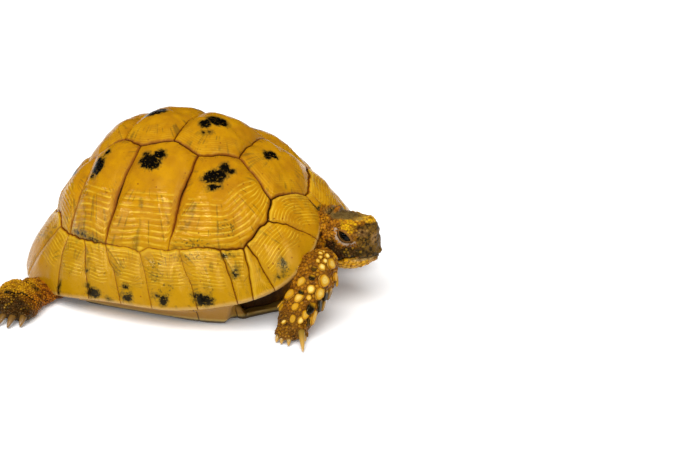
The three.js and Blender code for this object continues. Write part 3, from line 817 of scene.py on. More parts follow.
def wavy(plan: Array) -> Array:
    """Bends seams a little, the same for both scutes that share one."""
    calm = smooth(1 - DOME.share(*plan.T), 0.0, 0.08)
    a, b, c, d = (ripple.at(plan) for ripple in SEAM_BEND)
    bend = np.column_stack([a, b]) * SEAM_SWAY + np.column_stack([c, d]) * SEAM_JITTER
    return plan + bend * calm[:, None]


def outline_of(corners: Sequence[Corner], points: int, height: Callable[[Array, Array], Array]) -> Outline:
    """Draws a scute's outline through its corners.

    Args:
        corners: The corners in order.
        points: About how many points the outline has.
        height: The surface's height over its plan, which spaces the points.

    Returns:
        The outline, with a point at every corner.
    """
    pairs = list(zip(corners, [*corners[1:], corners[0]]))
    lengths = []
    for a, b in pairs:
        curve = edge_curve(a, b, np.linspace(0, 1, 60)[:, None])
        path = np.column_stack([curve, height(*curve.T)])
        lengths.append(np.linalg.norm(np.diff(path, axis=0), axis=1).sum())
    plan, side = [], []
    for number, ((a, b), length) in enumerate(zip(pairs, lengths)):
        count = max(2, round(points * length / sum(lengths)))
        plan.append(edge_curve(a, b, np.arange(count)[:, None] / count))
        side.append(np.full(count, number))
    loop, sides = np.vstack(plan), np.concatenate(side)
    x, y = loop.T
    if (x * np.roll(y, -1) - y * np.roll(x, -1)).sum() < 0:
        loop, sides = loop[::-1], np.roll(sides[::-1], -1)
    return Outline(loop, sides, [a.freely_joins(b) for a, b in pairs])


def edge_curve(a: Corner, b: Corner, shares: Array) -> Array:
    """Follows one side of a scute, along the rim where both its corners lie on it."""
    start, end = np.array([a.x, a.y]), np.array([b.x, b.y])
    if a.angle is None or b.angle is None:
        return start + (end - start) * shares
    angles = a.angle + math.remainder(b.angle - a.angle, TAU) * shares
    return DOME.rim_radius(angles) * np.hstack([np.cos(angles), np.sin(angles)])


def distance_to_loop(points: Array, loop: Array, wanted: Array) -> Array:
    """Measures how far points are from the wanted steps of a closed loop.

    Args:
        points: The points.
        loop: The loop's points in order.
        wanted: For each step from one loop point to the next, whether it counts.

    Returns:
        One distance for each point, or `FAR` where no step counts.
    """
    best = np.full(len(points), FAR)
    for a, b in zip(loop[wanted], np.roll(loop, -1, axis=0)[wanted]):
        step = b - a
        along = np.clip((points - a) @ step / max(step @ step, 1e-9), 0, 1)
        away = points - a - along[:, None] * step
        np.minimum(best, dot(away, away) ** 0.5, out=best)
    return best


# ------------------------------------------------------------------ markings on the horn


# Dark marks on the back: x, y, half length along the shell, half width down it, and its turn.
BLOTCHES = (
    (13.6, -0.8, 5.2, 4.4, 8), (10.4, -7, 2.6, 3, 25), (12.3, -13.1, 1.1, 0.8, 0), (15, -11.5, 0.8, 0.6, 0),
    (25.9, -29.6, 5.6, 3.3, 14), (28.2, -25.4, 2.2, 3, -20), (31, -25.2, 1.6, 1, 0),
    (26.6, -33.4, 2.6, 1.4, 10), (-5.4, -31.7, 5.4, 3.4, -6), (-1.8, -28.6, 2.6, 3, 30),
    (-8.6, -29, 1.6, 1.2, 0), (-33.4, -30.6, 3.9, 4.8, 0), (-30.6, -26, 1.8, 1.5, 0),
    (-35.6, -33.2, 1.5, 1, 0), (40.8, 0.2, 2.6, 2.2, 0),
    (39.4, -3.4, 2, 2.8, 20), (-17.8, -1.6, 5.8, 4.6, 6), (-20.5, -3.4, 1.7, 1, 0), (-38.5, -1, 5, 3.8, 0),
    (-60.5, -9, 2.6, 2.4, 0), (-63, 0, 3, 2, 0), (27, 30.2, 5, 3.2, -10), (24, 25.2, 1.5, 2.2, 15),
    (-3.6, 31, 4.8, 3.3, 10), (-7.8, 27.8, 1.8, 1.5, 0), (-32, 29.8, 3.6, 3.6, 0),
    (-35.5, 26.4, 1.6, 1.4, 0), (-54, 21, 2.4, 2, 20), (-53.4, -20.4, 1.5, 1.3, 0), (66.8, -1.5, 1.8, 1.4, 0),
)
# Dark marks on the flank: x, height, half length, half height, and the side as the sign of y.
RIM_BLOTCHES = (
    (-44.2, 11.6, 1, 2.6, -1), (-23.4, 12.6, 3.2, 2.4, -1), (-27.1, 15.6, 1.1, 0.9, -1),
    (-28.6, 22.2, 0.9, 0.7, -1), (-5, 13.2, 2.6, 2, -1), (-6.6, 17.8, 0.9, 0.7, -1), (13, 14.6, 2, 2, -1),
    (9.8, 16, 1.5, 0.8, -1), (31.6, 16.8, 4, 2.4, -1), (28, 18.4, 1.5, 0.8, -1), (-15, 10.9, 0.8, 0.7, -1),
    (38.2, 36, 1.6, 0.7, -1), (43.2, 30.2, 1, 1.6, -1), (-37, 36.2, 3.8, 0.8, -1), (-28.4, 35.3, 3, 0.6, -1),
    (61.2, 33.4, 1, 2.4, -1), (60, 29.8, 0.9, 1, -1), (-46, 12, 1.6, 2.4, 1), (-25, 12.6, 2.8, 2.4, 1),
    (-6.5, 13.2, 2.4, 2.2, 1), (11.5, 14.4, 2.2, 1.8, 1), (29.5, 17, 3.2, 2.2, 1), (48, 26, 2, 2, 1),
    (-33, 36, 3.2, 0.7, 1),
)
# Speckled, olive smudges, in the same way as the dark marks on the flank.
SMUDGES = (
    (36.5, 45.6, 5.5, 4.2, -1), (24.1, 39.5, 8, 2, -1), (36, 38.4, 5, 1.4, -1), (-10.5, 25.5, 3.6, 3.8, -1),
    (8.8, 26.6, 4.4, 5, -1), (14, 19.5, 3.2, 3, -1), (-5.5, 17, 2.4, 3.6, -1), (33, 22, 2.6, 3.4, -1),
    (43.4, 31, 3, 3.4, -1), (61.4, 32.8, 3.4, 5.2, -1), (-33, 36.8, 8, 1.8, -1), (20, 33.5, 8, 2.2, -1),
    (33, 44, 6, 4, 1), (-12, 25, 5, 4, 1), (9, 24, 4, 5, 1), (58, 32, 3, 4, 1),
)
# Where the seams hold more or less dirt than elsewhere: x, y and z, how far round, and the change.
SEAM_DIRT = (
    (52, -24, 53, 11, 0.65), (44, -40, 44, 12, 0.55), (50, 24, 53, 10, 0.9), (66, 0, 44, 9, 0.8),
    (20, -12, 78, 14, 0.5), (-8, -22, 76, 12, 0.3), (-23, -40, 55, 11, 0.6), (14, -36, 60, 9, 0.5),
    (14, -53, 33, 13, -0.75), (-6, -54, 33, 13, -0.6), (-15, -60, 18, 30, -0.22), (15, -60, 18, 20, -0.22),
    (0, 56, 30, 30, -0.3),
)
Frame = tuple[Array, Array, Array]


def mark_frame(plan: Array, reach: Point, lean: float) -> Frame:
    """Lays a mark on the dome.

    Args:
        plan: Its middle in plan.
        reach: Its half length and half width.
        lean: How far it is turned, in degrees.

    Returns:
        Its middle and its two half axes, each divided by its length squared.
    """
    normal = DOME.normal(plan)[0]
    along = unit(np.cross([0, 1, 0], normal) if abs(normal[1]) < 0.5 else np.cross(normal, [0, 0, 1]))
    across = np.cross(normal, along)
    c, s = math.cos(math.radians(lean)), math.sin(math.radians(lean))
    return DOME.point(plan, 0)[0], (along * c + across * s) / reach[0], (across * c - along * s) / reach[1]


def flank_frames(rows: Rows) -> list[Frame]:
    """Lays marks of the flank on the dome, each at its height."""
    frames = []
    for x, z, length, height, sign in rows:
        tries = np.column_stack([np.full(400, x), np.linspace(20, 75, 400) * sign])
        tries = tries[DOME.share(*tries.T) < 0.995]
        plan = tries[[np.argmin(np.abs(DOME.height(*tries.T) - z))]]
        frames.append(mark_frame(plan, (length, height), 0))
    return frames


BLOTCH_FRAMES = [mark_frame(np.array([row[:2]]), row[2:4], row[4]) for row in BLOTCHES]
BLOTCH_FRAMES += flank_frames(RIM_BLOTCHES)
SMUDGE_FRAMES = flank_frames(SMUDGES)


def mark_distance(points: Array, frames: list[Frame]) -> Array:
    """Measures how far points are outside the nearest mark, below 0 inside it."""
    best = np.full(len(points), FAR)
    for middle, first, second in frames:
        local = points - middle
        size = min(1 / np.linalg.norm(first), 1 / np.linalg.norm(second))
        away = (np.hypot(local @ first, local @ second) - 1) * size
        np.minimum(best, np.where(np.linalg.norm(local, axis=1) < 16, away, FAR), out=best)
    return best


# ------------------------------------------------------------------ scutes


@dataclass(frozen=True)
class ScuteShape:
    """The sizes of one kind of scute."""

    turns: int  # about how many points its outline has
    stations: int  # how many steps lead from its areola to its edge
    rings: float  # how many growth rings it shows
    relief: float  # the rings' depth
    crown: float  # how far its middle stands above its edge
    thickness: float = 3.0
    groove: float = 0.6  # how deep its seam is
    groove_reach: float = 0.38
    lip: float = 1.5  # the roundness of a free edge
    contrast: float = 1.0  # how plainly its rings show
    edge: Point = (2.2, 1.6, 1.15, 0.8, 0.5, 0.28, 0.12, 0.0)
    under: Point = (0.96, 0.85, 0.5, 0.0)


COSTAL_SHAPE = ScuteShape(turns=150, stations=80, rings=10, relief=0.2, crown=2.4)
VERTEBRAL_SHAPE = ScuteShape(turns=150, stations=54, rings=10, relief=0.09, crown=2.3, contrast=0.5)
MARGINAL_SHAPE = ScuteShape(turns=110, stations=40, rings=12, relief=0.14, crown=1.0, contrast=0.95)
BELLY_SHAPE = ScuteShape(turns=90, stations=24, rings=8, relief=0.06, crown=0.0, groove=0.4)

UNEVEN = (Ripple(17.0, 21), Ripple(6.0, 22))
RING_SWAY = Ripple(15.0, 23)
RING_STRENGTH = Ripple(11.0, 24)
CROWN_POWER = 2.3
RAY_STEPS = 48
ROUNDED = 9  # how tightly rings turn where two sides meet
NARROW, WIDE = 0.55, 1.1  # rings closer than the first merge, and apart as the second stand free
LEDGED = 3.8  # a side with more growth than this has a brown ledge along its seam
VALLEY, VALLEY_REACH = 0.75, 2.6  # how far and how gently plates dip toward their seams


@dataclass
class Scute:
    """One horn plate, built round its areola and fitted to its outline."""

    name: str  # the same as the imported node's
    corners: Sequence[Corner]
    areola: Point  # the middle that its points are spun round, in plan
    shape: ScuteShape
    form: Dome | Belly
    margins: Sequence[float]  # how much horn has grown along each side

    def __post_init__(self) -> None:
        """Draws the outline, with even sides for the rings and wavy ones for the seams."""
        self.heart = np.array(self.areola, float)
        self.outline = outline_of(self.corners, self.shape.turns, self.form.height)
        self.even = self.outline.plan
        if self.form is DOME:
            self.outline = replace(self.outline, plan=wavy(self.even))

    def rays(self) -> tuple[Array, Array]:
        """Follows each ray from the areola to the outline.

        Returns:
            For each turn, the length travelled at each of `RAY_STEPS` equal shares of the plan,
            and those shares.
        """
        shares = np.linspace(0, 1, RAY_STEPS)
        plan = self.heart + (self.outline.plan - self.heart)[:, None] * shares[None, :, None]
        points = self.form.point(plan.reshape(-1, 2), 0).reshape(len(plan), RAY_STEPS, 3)
        steps = np.linalg.norm(np.diff(points, axis=1), axis=2)
        return np.hstack([np.zeros((len(plan), 1)), np.cumsum(steps, axis=1)]), shares

    def build(self) -> Mesh:
        """Builds the plate, in shell millimetres."""
        shape = self.shape
        outer = shape.stations + len(shape.edge)
        profile = [(i, 1) for i in range(outer)] + [(outer - 1, 0)]
        profile += [(outer - 2 - i, 0) for i in range(len(shape.under) - 1)] + [(0, 0)]
        mesh, station, step, level = turned(profile, len(self.outline.plan))
        travelled, shares = self.rays()
        length = travelled[:, -1][step]
        index = np.rint(station).astype(int)
        edge = np.array(shape.edge)[np.clip(index - shape.stations, 0, None)]
        inner = (length - shape.edge[0] * 1.35) * index / (shape.stations - 1)
        ahead = np.where(index < shape.stations, inner, length - np.minimum(edge, length * 0.2))
        below = np.array([1.0, *shape.under])[np.clip(outer - 1 - index, 0, len(shape.under))]
        ahead = np.where(level < 0.5, length * below, ahead)
        place = np.array([np.interp(a, travelled[s], shares) for a, s in zip(ahead, step)])
        plan = self.heart + (self.outline.plan[step] - self.heart) * place[:, None]
        marks = self.markings(self.form.point(plan, 0), plan, step)
        offset = self.relief(marks, ahead / length, plan)
        points = self.form.point(plan, np.where(level < 0.5, -shape.thickness, offset))
        points[:, 2] = np.maximum(points[:, 2], FLOOR)
        set_attributes(mesh, marks)
        return placed(mesh, points)

    def markings(self, skin: Array, plan: Array, step: Array) -> dict[str, Array]:
        """Measures what the horn's finish and relief follow.

        Args:
            skin: The points on the plain form.
            plan: The same points in plan.
            step: Each point's step round the outline.

        Returns:
            Values by attribute name.
        """
        outline, shape, on_dome = self.outline, self.shape, self.form is DOME
        far = np.full(len(skin), FAR)
        loop, even = self.form.point(outline.plan, 0), self.form.point(self.even, 0)
        sides = range(len(outline.free))
        away = np.array([distance_to_loop(skin, loop, outline.side == k) for k in sides])
        calm = np.array([distance_to_loop(skin, even, outline.side == k) for k in sides])
        margins = np.array(self.margins)[:, None]
        grown = np.clip(1 - calm / margins, 1e-3, 1) ** ROUNDED
        total = grown.sum(axis=0)
        clear = (grown * smooth(margins / shape.rings, NARROW, WIDE)).sum(axis=0) / total
        share = np.minimum(total ** (1 / ROUNDED), 1.05)
        free = np.array(outline.free)
        seam = np.min(away[~free], axis=0)
        ledges = away[~free & (margins[:, 0] > LEDGED)]
        dirt = np.full(len(skin), 0.5)
        for x, y, z, reach, change in SEAM_DIRT if on_dome else ():
            dirt += change * bell(np.linalg.norm(skin * (1, 1, 1.6) - (x, y, z * 1.6), axis=1), reach)
        pale_edge = np.zeros(len(skin))
        if shape is MARGINAL_SHAPE and len(ledges):
            pale_edge = bell(ledges.min(axis=0) - 1.1, 0.8) * smooth(seam, 0.2, 0.7)
            ledges = ledges[:0]
        middle = self.form.point(self.heart[None], 0)[0]
        normal = unit(np.cross(loop[0] - middle, loop[len(loop) // 4] - middle))
        down = unit(np.cross(np.cross(normal, [0.02, 0.0, -1.0]), normal))
        spoke = unit(loop - middle)
        turn = np.arctan2(spoke @ np.cross(normal, down), spoke @ down)[step]
        number = sum((index + 1) * ord(letter) for index, letter in enumerate(self.name)) % 97
        return {
            "growth": shape.rings * share + 0.12 * RING_SWAY.at(plan),
            "ringed": clear * smooth(share, 0.04, 0.16) * smooth(seam, 0.3, 1.2) * shape.contrast,
            "pale_edge": pale_edge,
            "share": share,
            "seam_mm": seam,
            "ledge_mm": ledges.min(axis=0) if len(ledges) else far,
            "rim_mm": away[free].min(axis=0) if free.any() else far,
            "dirt": np.maximum(dirt, 0.04),
            "blotch_mm": mark_distance(skin, BLOTCH_FRAMES) if on_dome else far,
            "smudge_mm": mark_distance(skin, SMUDGE_FRAMES) if on_dome else far,
            "spokes": np.column_stack([turn, far * 0 + number, far * 0]),
        }

    def relief(self, marks: dict[str, Array], grown: Array, plan: Array) -> Array:
        """Works out how far the horn stands off its plain form.

        Args:
            marks: What `markings` measured.
            grown: How far out from the areola each point is, 1 at the edge.
            plan: The points in plan.

        Returns:
            One distance for each point.
        """
        shape, growth, seam = self.shape, marks["growth"], marks["seam_mm"]
        ridge = bell(growth - np.round(growth), 0.2) - 0.25
        strength = np.clip(0.8 + 0.35 * RING_STRENGTH.at(plan), 0.2, 1.4)
        height = shape.crown * (1 - np.clip(grown, 0, 1) ** CROWN_POWER)
        height += shape.relief * ridge * strength * marks["ringed"] + 0.12 * marks["pale_edge"]
        calm = smooth(seam, 0.0, 5.0) * (1.0 if shape.crown else 0.2)
        height += (0.28 * UNEVEN[0].at(plan) + 0.09 * UNEVEN[1].at(plan)) * calm
        open_seam = np.clip(1.8 * marks["dirt"], 0.2, 1.15)
        height -= open_seam * shape.groove * np.exp(-seam / shape.groove_reach)
        if shape.crown > MARGINAL_SHAPE.crown:
            height -= open_seam * VALLEY * np.exp(-seam / VALLEY_REACH)
        inside = np.clip(1 - marks["rim_mm"] / shape.lip, 0, 1)
        return height - shape.lip * (1 - np.sqrt(1 - np.minimum(inside, 0.999) ** 2))


VERTEBRAL_CROWNS = (2.1, 2.2, 2.6, 3.7, 3.6)  # how far the middles of the five stand up
# How much horn has grown along each side of the scutes, in the corners' order.
VERTEBRAL_MARGINS = (11, 11, 3.5, 11, 11, 3.5)
COSTAL_MARGINS = (
    (14, 24, 25, 26, 26, 27, 4, 3, 3), (4, 29, 29, 4, 3, 3), (4, 29, 29, 4, 3, 3), (4, 20, 20, 3, 3),
)
MARGINAL_MARGIN, SEAM_MARGIN = 19, 3
NARROW_MARGINAL, NARROW_MARGIN = 2, 10  # the third marginal has grown only toward its front


@dataclass
class Carapace:
    """The domed upper shell."""

    horn: Material
    slot: str = "carapace"

    def build(self) -> None:
        """Builds every scute of the dome."""
        left, right = Side.LEFT, Side.RIGHT
        last = len(RIM_SEAMS) - 1
        for index, (names, x) in enumerate(VERTEBRALS.items()):
            corners = corners_of(names, left) + corners_of(names, right, -1)
            shape = replace(VERTEBRAL_SHAPE, crown=VERTEBRAL_CROWNS[index])
            self.plate(f"vertebral_{index + 1}", corners, (x, 0), shape, VERTEBRAL_MARGINS)
        front = [rim_corner(0, left), *corners_of("v1_front", left), *corners_of("v1_front", right)]
        self.plate("cervical", [*front, rim_corner(0, right)], (63.5, 0), MARGINAL_SHAPE, (3, 8, 3, 3))
        rear = [*corners_of("v5_rear", left), rim_corner(last, left), rim_corner(last, right)]
        rear += corners_of("v5_rear", right)
        self.plate("supracaudal", rear, (-79.5, 0), MARGINAL_SHAPE, (3, 3, 3, 12))
        for side in Side:
            for index, (names, (x, y)) in enumerate(COSTALS.items()):
                name, corners = f"costal_{side.word}_{index + 1}", corners_of(names, side)
                self.plate(name, corners, (x, y * side.value), COSTAL_SHAPE, COSTAL_MARGINS[index])
            for index, names in enumerate(MARGINALS):
                corners = corners_of(names, side, -1)
                corners += [rim_corner(index, side), rim_corner(index + 1, side)]
                margins = [MARGINAL_MARGIN] * (len(corners) - 3) + [SEAM_MARGIN] * 3
                if index == NARROW_MARGINAL:
                    margins = [SEAM_MARGIN, SEAM_MARGIN, SEAM_MARGIN, NARROW_MARGIN]
                middle = np.mean([(c.x, c.y) for c in corners], axis=0)
                rim = np.mean([(c.x, c.y) for c in corners if c.angle is not None], axis=0)
                name = f"marginal_{side.word}_{index + 1}"
                self.plate(name, corners, middle * 0.55 + rim * 0.45, MARGINAL_SHAPE, margins)

    def plate(self, name: str, corners: list[Corner], areola: Any, shape: ScuteShape, margins: Any) -> None:
        """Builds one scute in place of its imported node."""
        mesh = Scute(name, corners, areola, shape, DOME, margins).build()
        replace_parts(show(f"horn_{name}", mesh, self.horn, self.slot), name)


# Corners of the plastron on the left half, from front to rear, as x and y in plan.
BELLY_CORNERS: dict[str, Point] = {
    "gular_front": (66, 0), "gular_side": (64.5, 13), "humeral_front": (56, 25.5), "gular_rear": (51, 0),
    "humeral_side": (45.5, 36.5), "pectoral_front": (40.5, 44), "humeral_rear": (32, 0),
    "pectoral_bridge": (46.3, 51.6), "abdominal_front": (24.5, 48.5), "abdominal_bridge": (27, 59.4),
    "pectoral_rear": (22, 0), "rear_bridge": (-33.5, 58.4), "abdominal_rear": (-36, 48.5),
    "abdominal_middle": (-20, 0), "femoral_side": (-57, 37), "femoral_rear": (-50, 0),
    "anal_side": (-74, 19), "anal_tip": (-77, 11), "anal_notch": (-69, 0),
}
BELLY_SCUTES = {
    "gular": "gular_front gular_side humeral_front gular_rear",
    "humeral": "gular_rear humeral_front humeral_side pectoral_front humeral_rear",
    "pectoral": "humeral_rear pectoral_front pectoral_bridge abdominal_bridge abdominal_front pectoral_rear",
    "abdominal": "pectoral_rear abdominal_front abdominal_bridge rear_bridge abdominal_rear "
    "abdominal_middle",
    "femoral": "abdominal_middle abdominal_rear femoral_side femoral_rear",
    "anal": "femoral_rear femoral_side anal_side anal_tip anal_notch",
}
BRIDGED = ("pectoral", "abdominal")
BELLY_INNER = "gular_rear humeral_rear abdominal_front pectoral_rear abdominal_middle femoral_rear".split()
BELLY_EDGE = [key for key in BELLY_CORNERS if key not in BELLY_INNER]


@dataclass
class Plastron:
    """The flat underside of the shell and the bridges that join it to the dome."""

    horn: Material
    slot: str = "plastron"
    bridged_middle: float = 30.0  # from the midline, for the scutes that climb the bridge
    grown: float = 9.0  # how much horn has grown along each side

    def build(self) -> None:
        """Builds the twelve scutes."""
        for side in Side:
            for name, names in BELLY_SCUTES.items():
                corners = []
                for key in names.split():
                    x, y = BELLY_CORNERS[key]
                    edge = BELLY_EDGE.index(key) if key in BELLY_EDGE else None
                    corners.append(Corner(x, y * side.value, edge=edge))
                middle = np.mean([(c.x, c.y) for c in corners], axis=0)
                if name in BRIDGED:
                    middle[1] = self.bridged_middle * side.value
                node, margins = f"{name}_{side.word}", [self.grown] * len(corners)
                mesh = Scute(node, corners, middle, BELLY_SHAPE, BELLY, margins).build()
                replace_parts(show(f"horn_{node}", mesh, self.horn, self.slot), node)


# ------------------------------------------------------------------ the body's form


@dataclass(frozen=True)
class Claw:
    """A claw from its root on the toe to its tip."""

    root: Array
    tip: Array
    radius: float  # its thickness at the root


@dataclass(frozen=True)
class Leg:
    """A leg's path and claws, described for the left side."""

    name: str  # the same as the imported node's
    side: Side
    across: Point  # the direction of its width
    stations: Rows  # x, y, z, half width and half height along it
    claw_rows: Rows  # the root, the tip and the thickness of each claw

    def claws(self) -> list[Claw]:
        """Gives the claws on the leg's own side."""
        return [Claw(self.side.place(r[:3]), self.side.place(r[3:6]), r[6]) for r in self.claw_rows]

    def loft(self, drawn_in: float = 0.0) -> "Loft":
        """Gives the leg's form on its own side."""
        stations = np.array(self.stations, float) * (1, self.side.value, 1, 1, 1)
        return Loft(stations, unit(np.array(self.across) * (1, -self.side.value, 1)), drawn_in)


LEGS = (
    Leg(
        "foreleg_right", Side.RIGHT, (0.86, -0.2, 0.47),
        (
            (54, 20, 25, 9, 8), (72.8, 24, 31.2, 8, 8.6), (75.6, 31.4, 23.6, 9.8, 9.2),
            (72, 41, 12, 10.7, 7.8), (71.2, 49, 5, 8.6, 6.4), (71.4, 53.4, 3.6, 6.6, 4.4),
        ),
        (
            (76.6, 52, 6.2, 81.4, 62, 0.6, 1.6), (77.4, 50.6, 3, 79.2, 53.4, 1.4, 1),
            (72.4, 56, 3.2, 73, 58.6, 0.6, 1.2), (69, 55.6, 3.2, 69.2, 58, 0.6, 1.2),
            (66.8, 54, 3.4, 66.4, 57.2, 0.6, 1.4),
        ),
    ),
    Leg(
        "foreleg_left", Side.LEFT, (0.92, -0.1, 0.38),
        (
            (52, 20, 24, 9, 8), (61, 27, 24, 10.5, 8.5), (67, 33, 17, 11.5, 8), (65, 38, 9, 9.9, 7),
            (64.5, 42.5, 4.6, 8.8, 5.8), (64.8, 46, 3.6, 7, 4.2),
        ),
        (
            (69.4, 45.6, 4.8, 73.6, 53.4, 0.6, 1.7), (71.6, 42.4, 4.4, 74.2, 45.6, 1.2, 1.3),
            (65.6, 47.6, 3.8, 66.8, 51.8, 0.6, 1.4), (62.2, 47.4, 3.6, 62.6, 51, 0.6, 1.3),
            (58.6, 45.4, 3.8, 57.6, 49.6, 0.6, 1.5),
        ),
    ),
    Leg(
        "hind_leg_right", Side.RIGHT, (0.94, 0.12, -0.3),
        (
            (-42, 32, 8, 9, 5), (-52, 45, 5.2, 10, 3.6), (-58.4, 56.5, 6.4, 11.8, 4.3),
            (-59.4, 66, 7.2, 11.4, 6.2), (-57.5, 75, 5.8, 10.6, 5.8), (-57.5, 79.5, 4.2, 8, 4),
        ),
        (
            (-50.6, 78.6, 4, -49.8, 84, 0.8, 1.8), (-55, 80.4, 4.2, -54.7, 87, 0.8, 1.8),
            (-59.6, 80.6, 4.2, -60, 86.4, 0.8, 1.7), (-64, 78.8, 3.8, -65, 83.6, 0.8, 1.6),
        ),
    ),
    Leg(
        "hind_leg_left", Side.LEFT, (1, -0.12, 0),
        (
            (-43, 32, 8, 9, 5), (-52, 45, 5.8, 10, 5), (-60, 56, 5.4, 11.4, 5.2),
            (-63, 66, 6.7, 11.4, 6.8), (-62.5, 74, 5.8, 10.2, 5.8), (-62, 79, 4.2, 8, 4),
        ),
        (
            (-55.2, 78.4, 4, -54.6, 84.2, 0.8, 1.8), (-59.6, 80.2, 4.2, -59.6, 87, 0.8, 1.8),
            (-64.2, 80.4, 4.2, -64.8, 86.2, 0.8, 1.7), (-68.6, 78.6, 3.8, -70, 83.6, 0.8, 1.6),
        ),
    ),
)

FLESH_POWER = 0.85  # under 1 fills out the corners of an ellipse


def fuller(value: Array) -> Array:
    """Fills out a circle's corners a little, as flesh over bone is squarer than an ellipse."""
    return np.sign(value) * np.abs(value) ** FLESH_POWER


@dataclass(frozen=True)
class Loft:
    """A rounded body part along a path."""

    stations: Array  # rows of x, y, z, half width and half height
    across: Array  # the direction of its width
    drawn_in: float = 0.0  # how much smaller it is than its stations say

    def at(self, share: Array) -> tuple[Array, Array, Array, Array]:
        """Follows the path.

        Args:
            share: How far along, from 0 to 1.

        Returns:
            The middle, the forward and up directions, and the half width and height.
        """
        here = spline(self.stations, share)
        step = 0.002
        ahead = spline(self.stations, share + step) - spline(self.stations, share - step)
        forward = unit(ahead[:, :3])
        up = unit(np.cross(forward, self.across))
        up *= np.where(up[:, 2:] < 0, -1, 1)
        return here[:, :3], forward, up, here[:, 3:5] - self.drawn_in

    def surface(self, share: Array, turn: Array, radius: Array | float = 1.0) -> Array:
        """Gives points on the part.

        Args:
            share: How far along each is.
            turn: How far round it is.
            radius: How far out it is, 1 on the surface.

        Returns:
            One row for each point.
        """
        middle, _, up, half = self.at(share)
        wide = (half[:, 0] * fuller(np.cos(turn)) * radius)[:, None] * self.across
        return middle + wide + (half[:, 1] * fuller(np.sin(turn)) * radius)[:, None] * up

    def mesh(self, rings: int = 40, segments: int = 40) -> Mesh:
        """Builds the closed part."""
        mesh, radius, turn, level = tube(rings, segments)
        return placed(mesh, self.surface(level / rings, turn, radius))

    def nearest(self, points: Array) -> tuple[Array, Array, Array]:
        """Finds where points lie along and round the part.

        Args:
            points: One row for each point.

        Returns:
            The share along the path, the turn round it, and the forward direction there.
        """
        shares = np.linspace(0, 1, 80)
        middle, forward, up, _ = self.at(shares)
        best = np.linalg.norm(points[:, None] - middle[None], axis=2).argmin(axis=1)
        local = points - middle[best]
        return shares[best], np.arctan2(dot(local, up[best]), local @ self.across), forward[best]


# Stations along the head: x, half width, top and bottom.
HEAD = (
    (66.5, 10.5, 37.4, 21), (69, 11.6, 39.8, 19.4), (71.5, 12.2, 42.4, 18.4), (74.5, 12.4, 43.7, 17.8),
    (78, 12.3, 43.6, 17.4), (82, 11.7, 43.4, 17.4), (86, 10.2, 43.2, 18.2), (89.5, 8.2, 42.8, 19.6),
    (92.5, 6, 41.4, 21.6), (94.4, 3.8, 38.2, 23.4), (95.2, 1.8, 33, 25.6),
)
STRAIGHT = np.array([0.0, 1.0, 0.0])
NECK = Loft(np.array([(50, 0, 26, 11, 9), (57, 0, 28, 12, 10), (68, 0, 30.5, 11.5, 10.5)]), STRAIGHT)
TAIL = Loft(
    np.array([
        (-62, 0, 9, 6, 4.5), (-71, 1, 7.6, 4.6, 3.4), (-77.5, 4, 6.4, 3, 2.2), (-79.5, 9, 5.6, 1.2, 1),
    ]),
    unit(np.array([0.3, 1.0, 0.0])),
)
# The fold of neck skin that the head is drawn into.
COLLAR = Loft(
    np.array([
        (60, 0, 29.5, 14, 12), (64, 0, 30.6, 14.4, 13.2), (67.5, 0, 31.6, 13.8, 13.2),
        (70.5, 0, 32, 13.4, 13.2), (71.6, 0, 32.1, 11.6, 12),
    ]),
    STRAIGHT,
)
EYE_AT = np.array([81.6, 8.2, 36.3])
EYE_RADIUS = 3.7
MOUTH_LINE = ((70, 77, 79.6, 83, 87.3, 91.5, 96), (20.5, 22.4, 24.4, 26.4, 25.7, 25, 25.6))  # x and height


def mouth_level(x: Array) -> Array:
    """Gives the height of the mouth's line."""
    return np.interp(x, *MOUTH_LINE)


@dataclass(frozen=True)
class Eyelids:
    """The opening of one eye, as an almond on the eyeball."""

    side: Side
    half_length: float = 2.9
    half_height: float = 1.25
    tilt: float = 38.0  # how far its front corner dips, in degrees
    outward: Point = (0.16, 0.97, 0.12)

    @property
    def middle(self) -> Array:
        """Gives the eyeball's middle."""
        return self.side.place(EYE_AT)

    def frame(self) -> tuple[Array, Array, Array]:
        """Gives the directions out of the eye, toward its front corner and up."""
        out = unit(self.side.place(self.outward))
        tilt = math.radians(self.tilt)
        front = np.array([math.cos(tilt), 0, -math.sin(tilt)])
        front = unit(front - out * (front @ out))
        up = np.cross(out, front)
        return out, front, up * (1 if up[2] > 0 else -1)

    def distance(self, points: Array) -> tuple[Array, Array]:
        """Measures how far points lie outside the almond.

        Args:
            points: One row for each point.

        Returns:
            The distance, below 0 in the opening, and how far up each point is.
        """
        out, front, up = self.frame()
        local = unit(points - self.middle) * EYE_RADIUS
        along, rise = local @ front, local @ up
        half = self.half_height * np.clip(1 - (along / self.half_length) ** 2, 0, 1) ** 0.75
        beyond = np.clip(np.abs(along) - self.half_length, 0, None)
        away = np.hypot(np.clip(np.abs(rise) - half, 0, None), beyond)
        inside = np.minimum(half - np.abs(rise), self.half_length - np.abs(along))
        away = np.where((beyond > 0) | (np.abs(rise) > half), away, -inside)
        return np.where(local @ out > 0, away, FAR), rise


def nearest_eye(points: Array) -> tuple[Array, Array]:
    """Measures how far points lie outside the nearer eye's opening.

    Args:
        points: One row for each point.

    Returns:
        The distance and how far up each point is.
    """
    best, height = np.full(len(points), FAR), np.zeros(len(points))
    for lids in map(Eyelids, Side):
        away, rise = lids.distance(points)
        away = away + np.maximum(np.linalg.norm(points - lids.middle, axis=1) - EYE_RADIUS - 0.6, 0)
        height = np.where(away < best, rise, height)
        best = np.minimum(best, away)
    return best, height


def near_head(point: Vector) -> bool:
    """Tells whether a point of the skin is on or near the head."""
    return point.x > 70.5 and abs(point.y) < 14.5 and point.z > 15.5 and point.z < 48


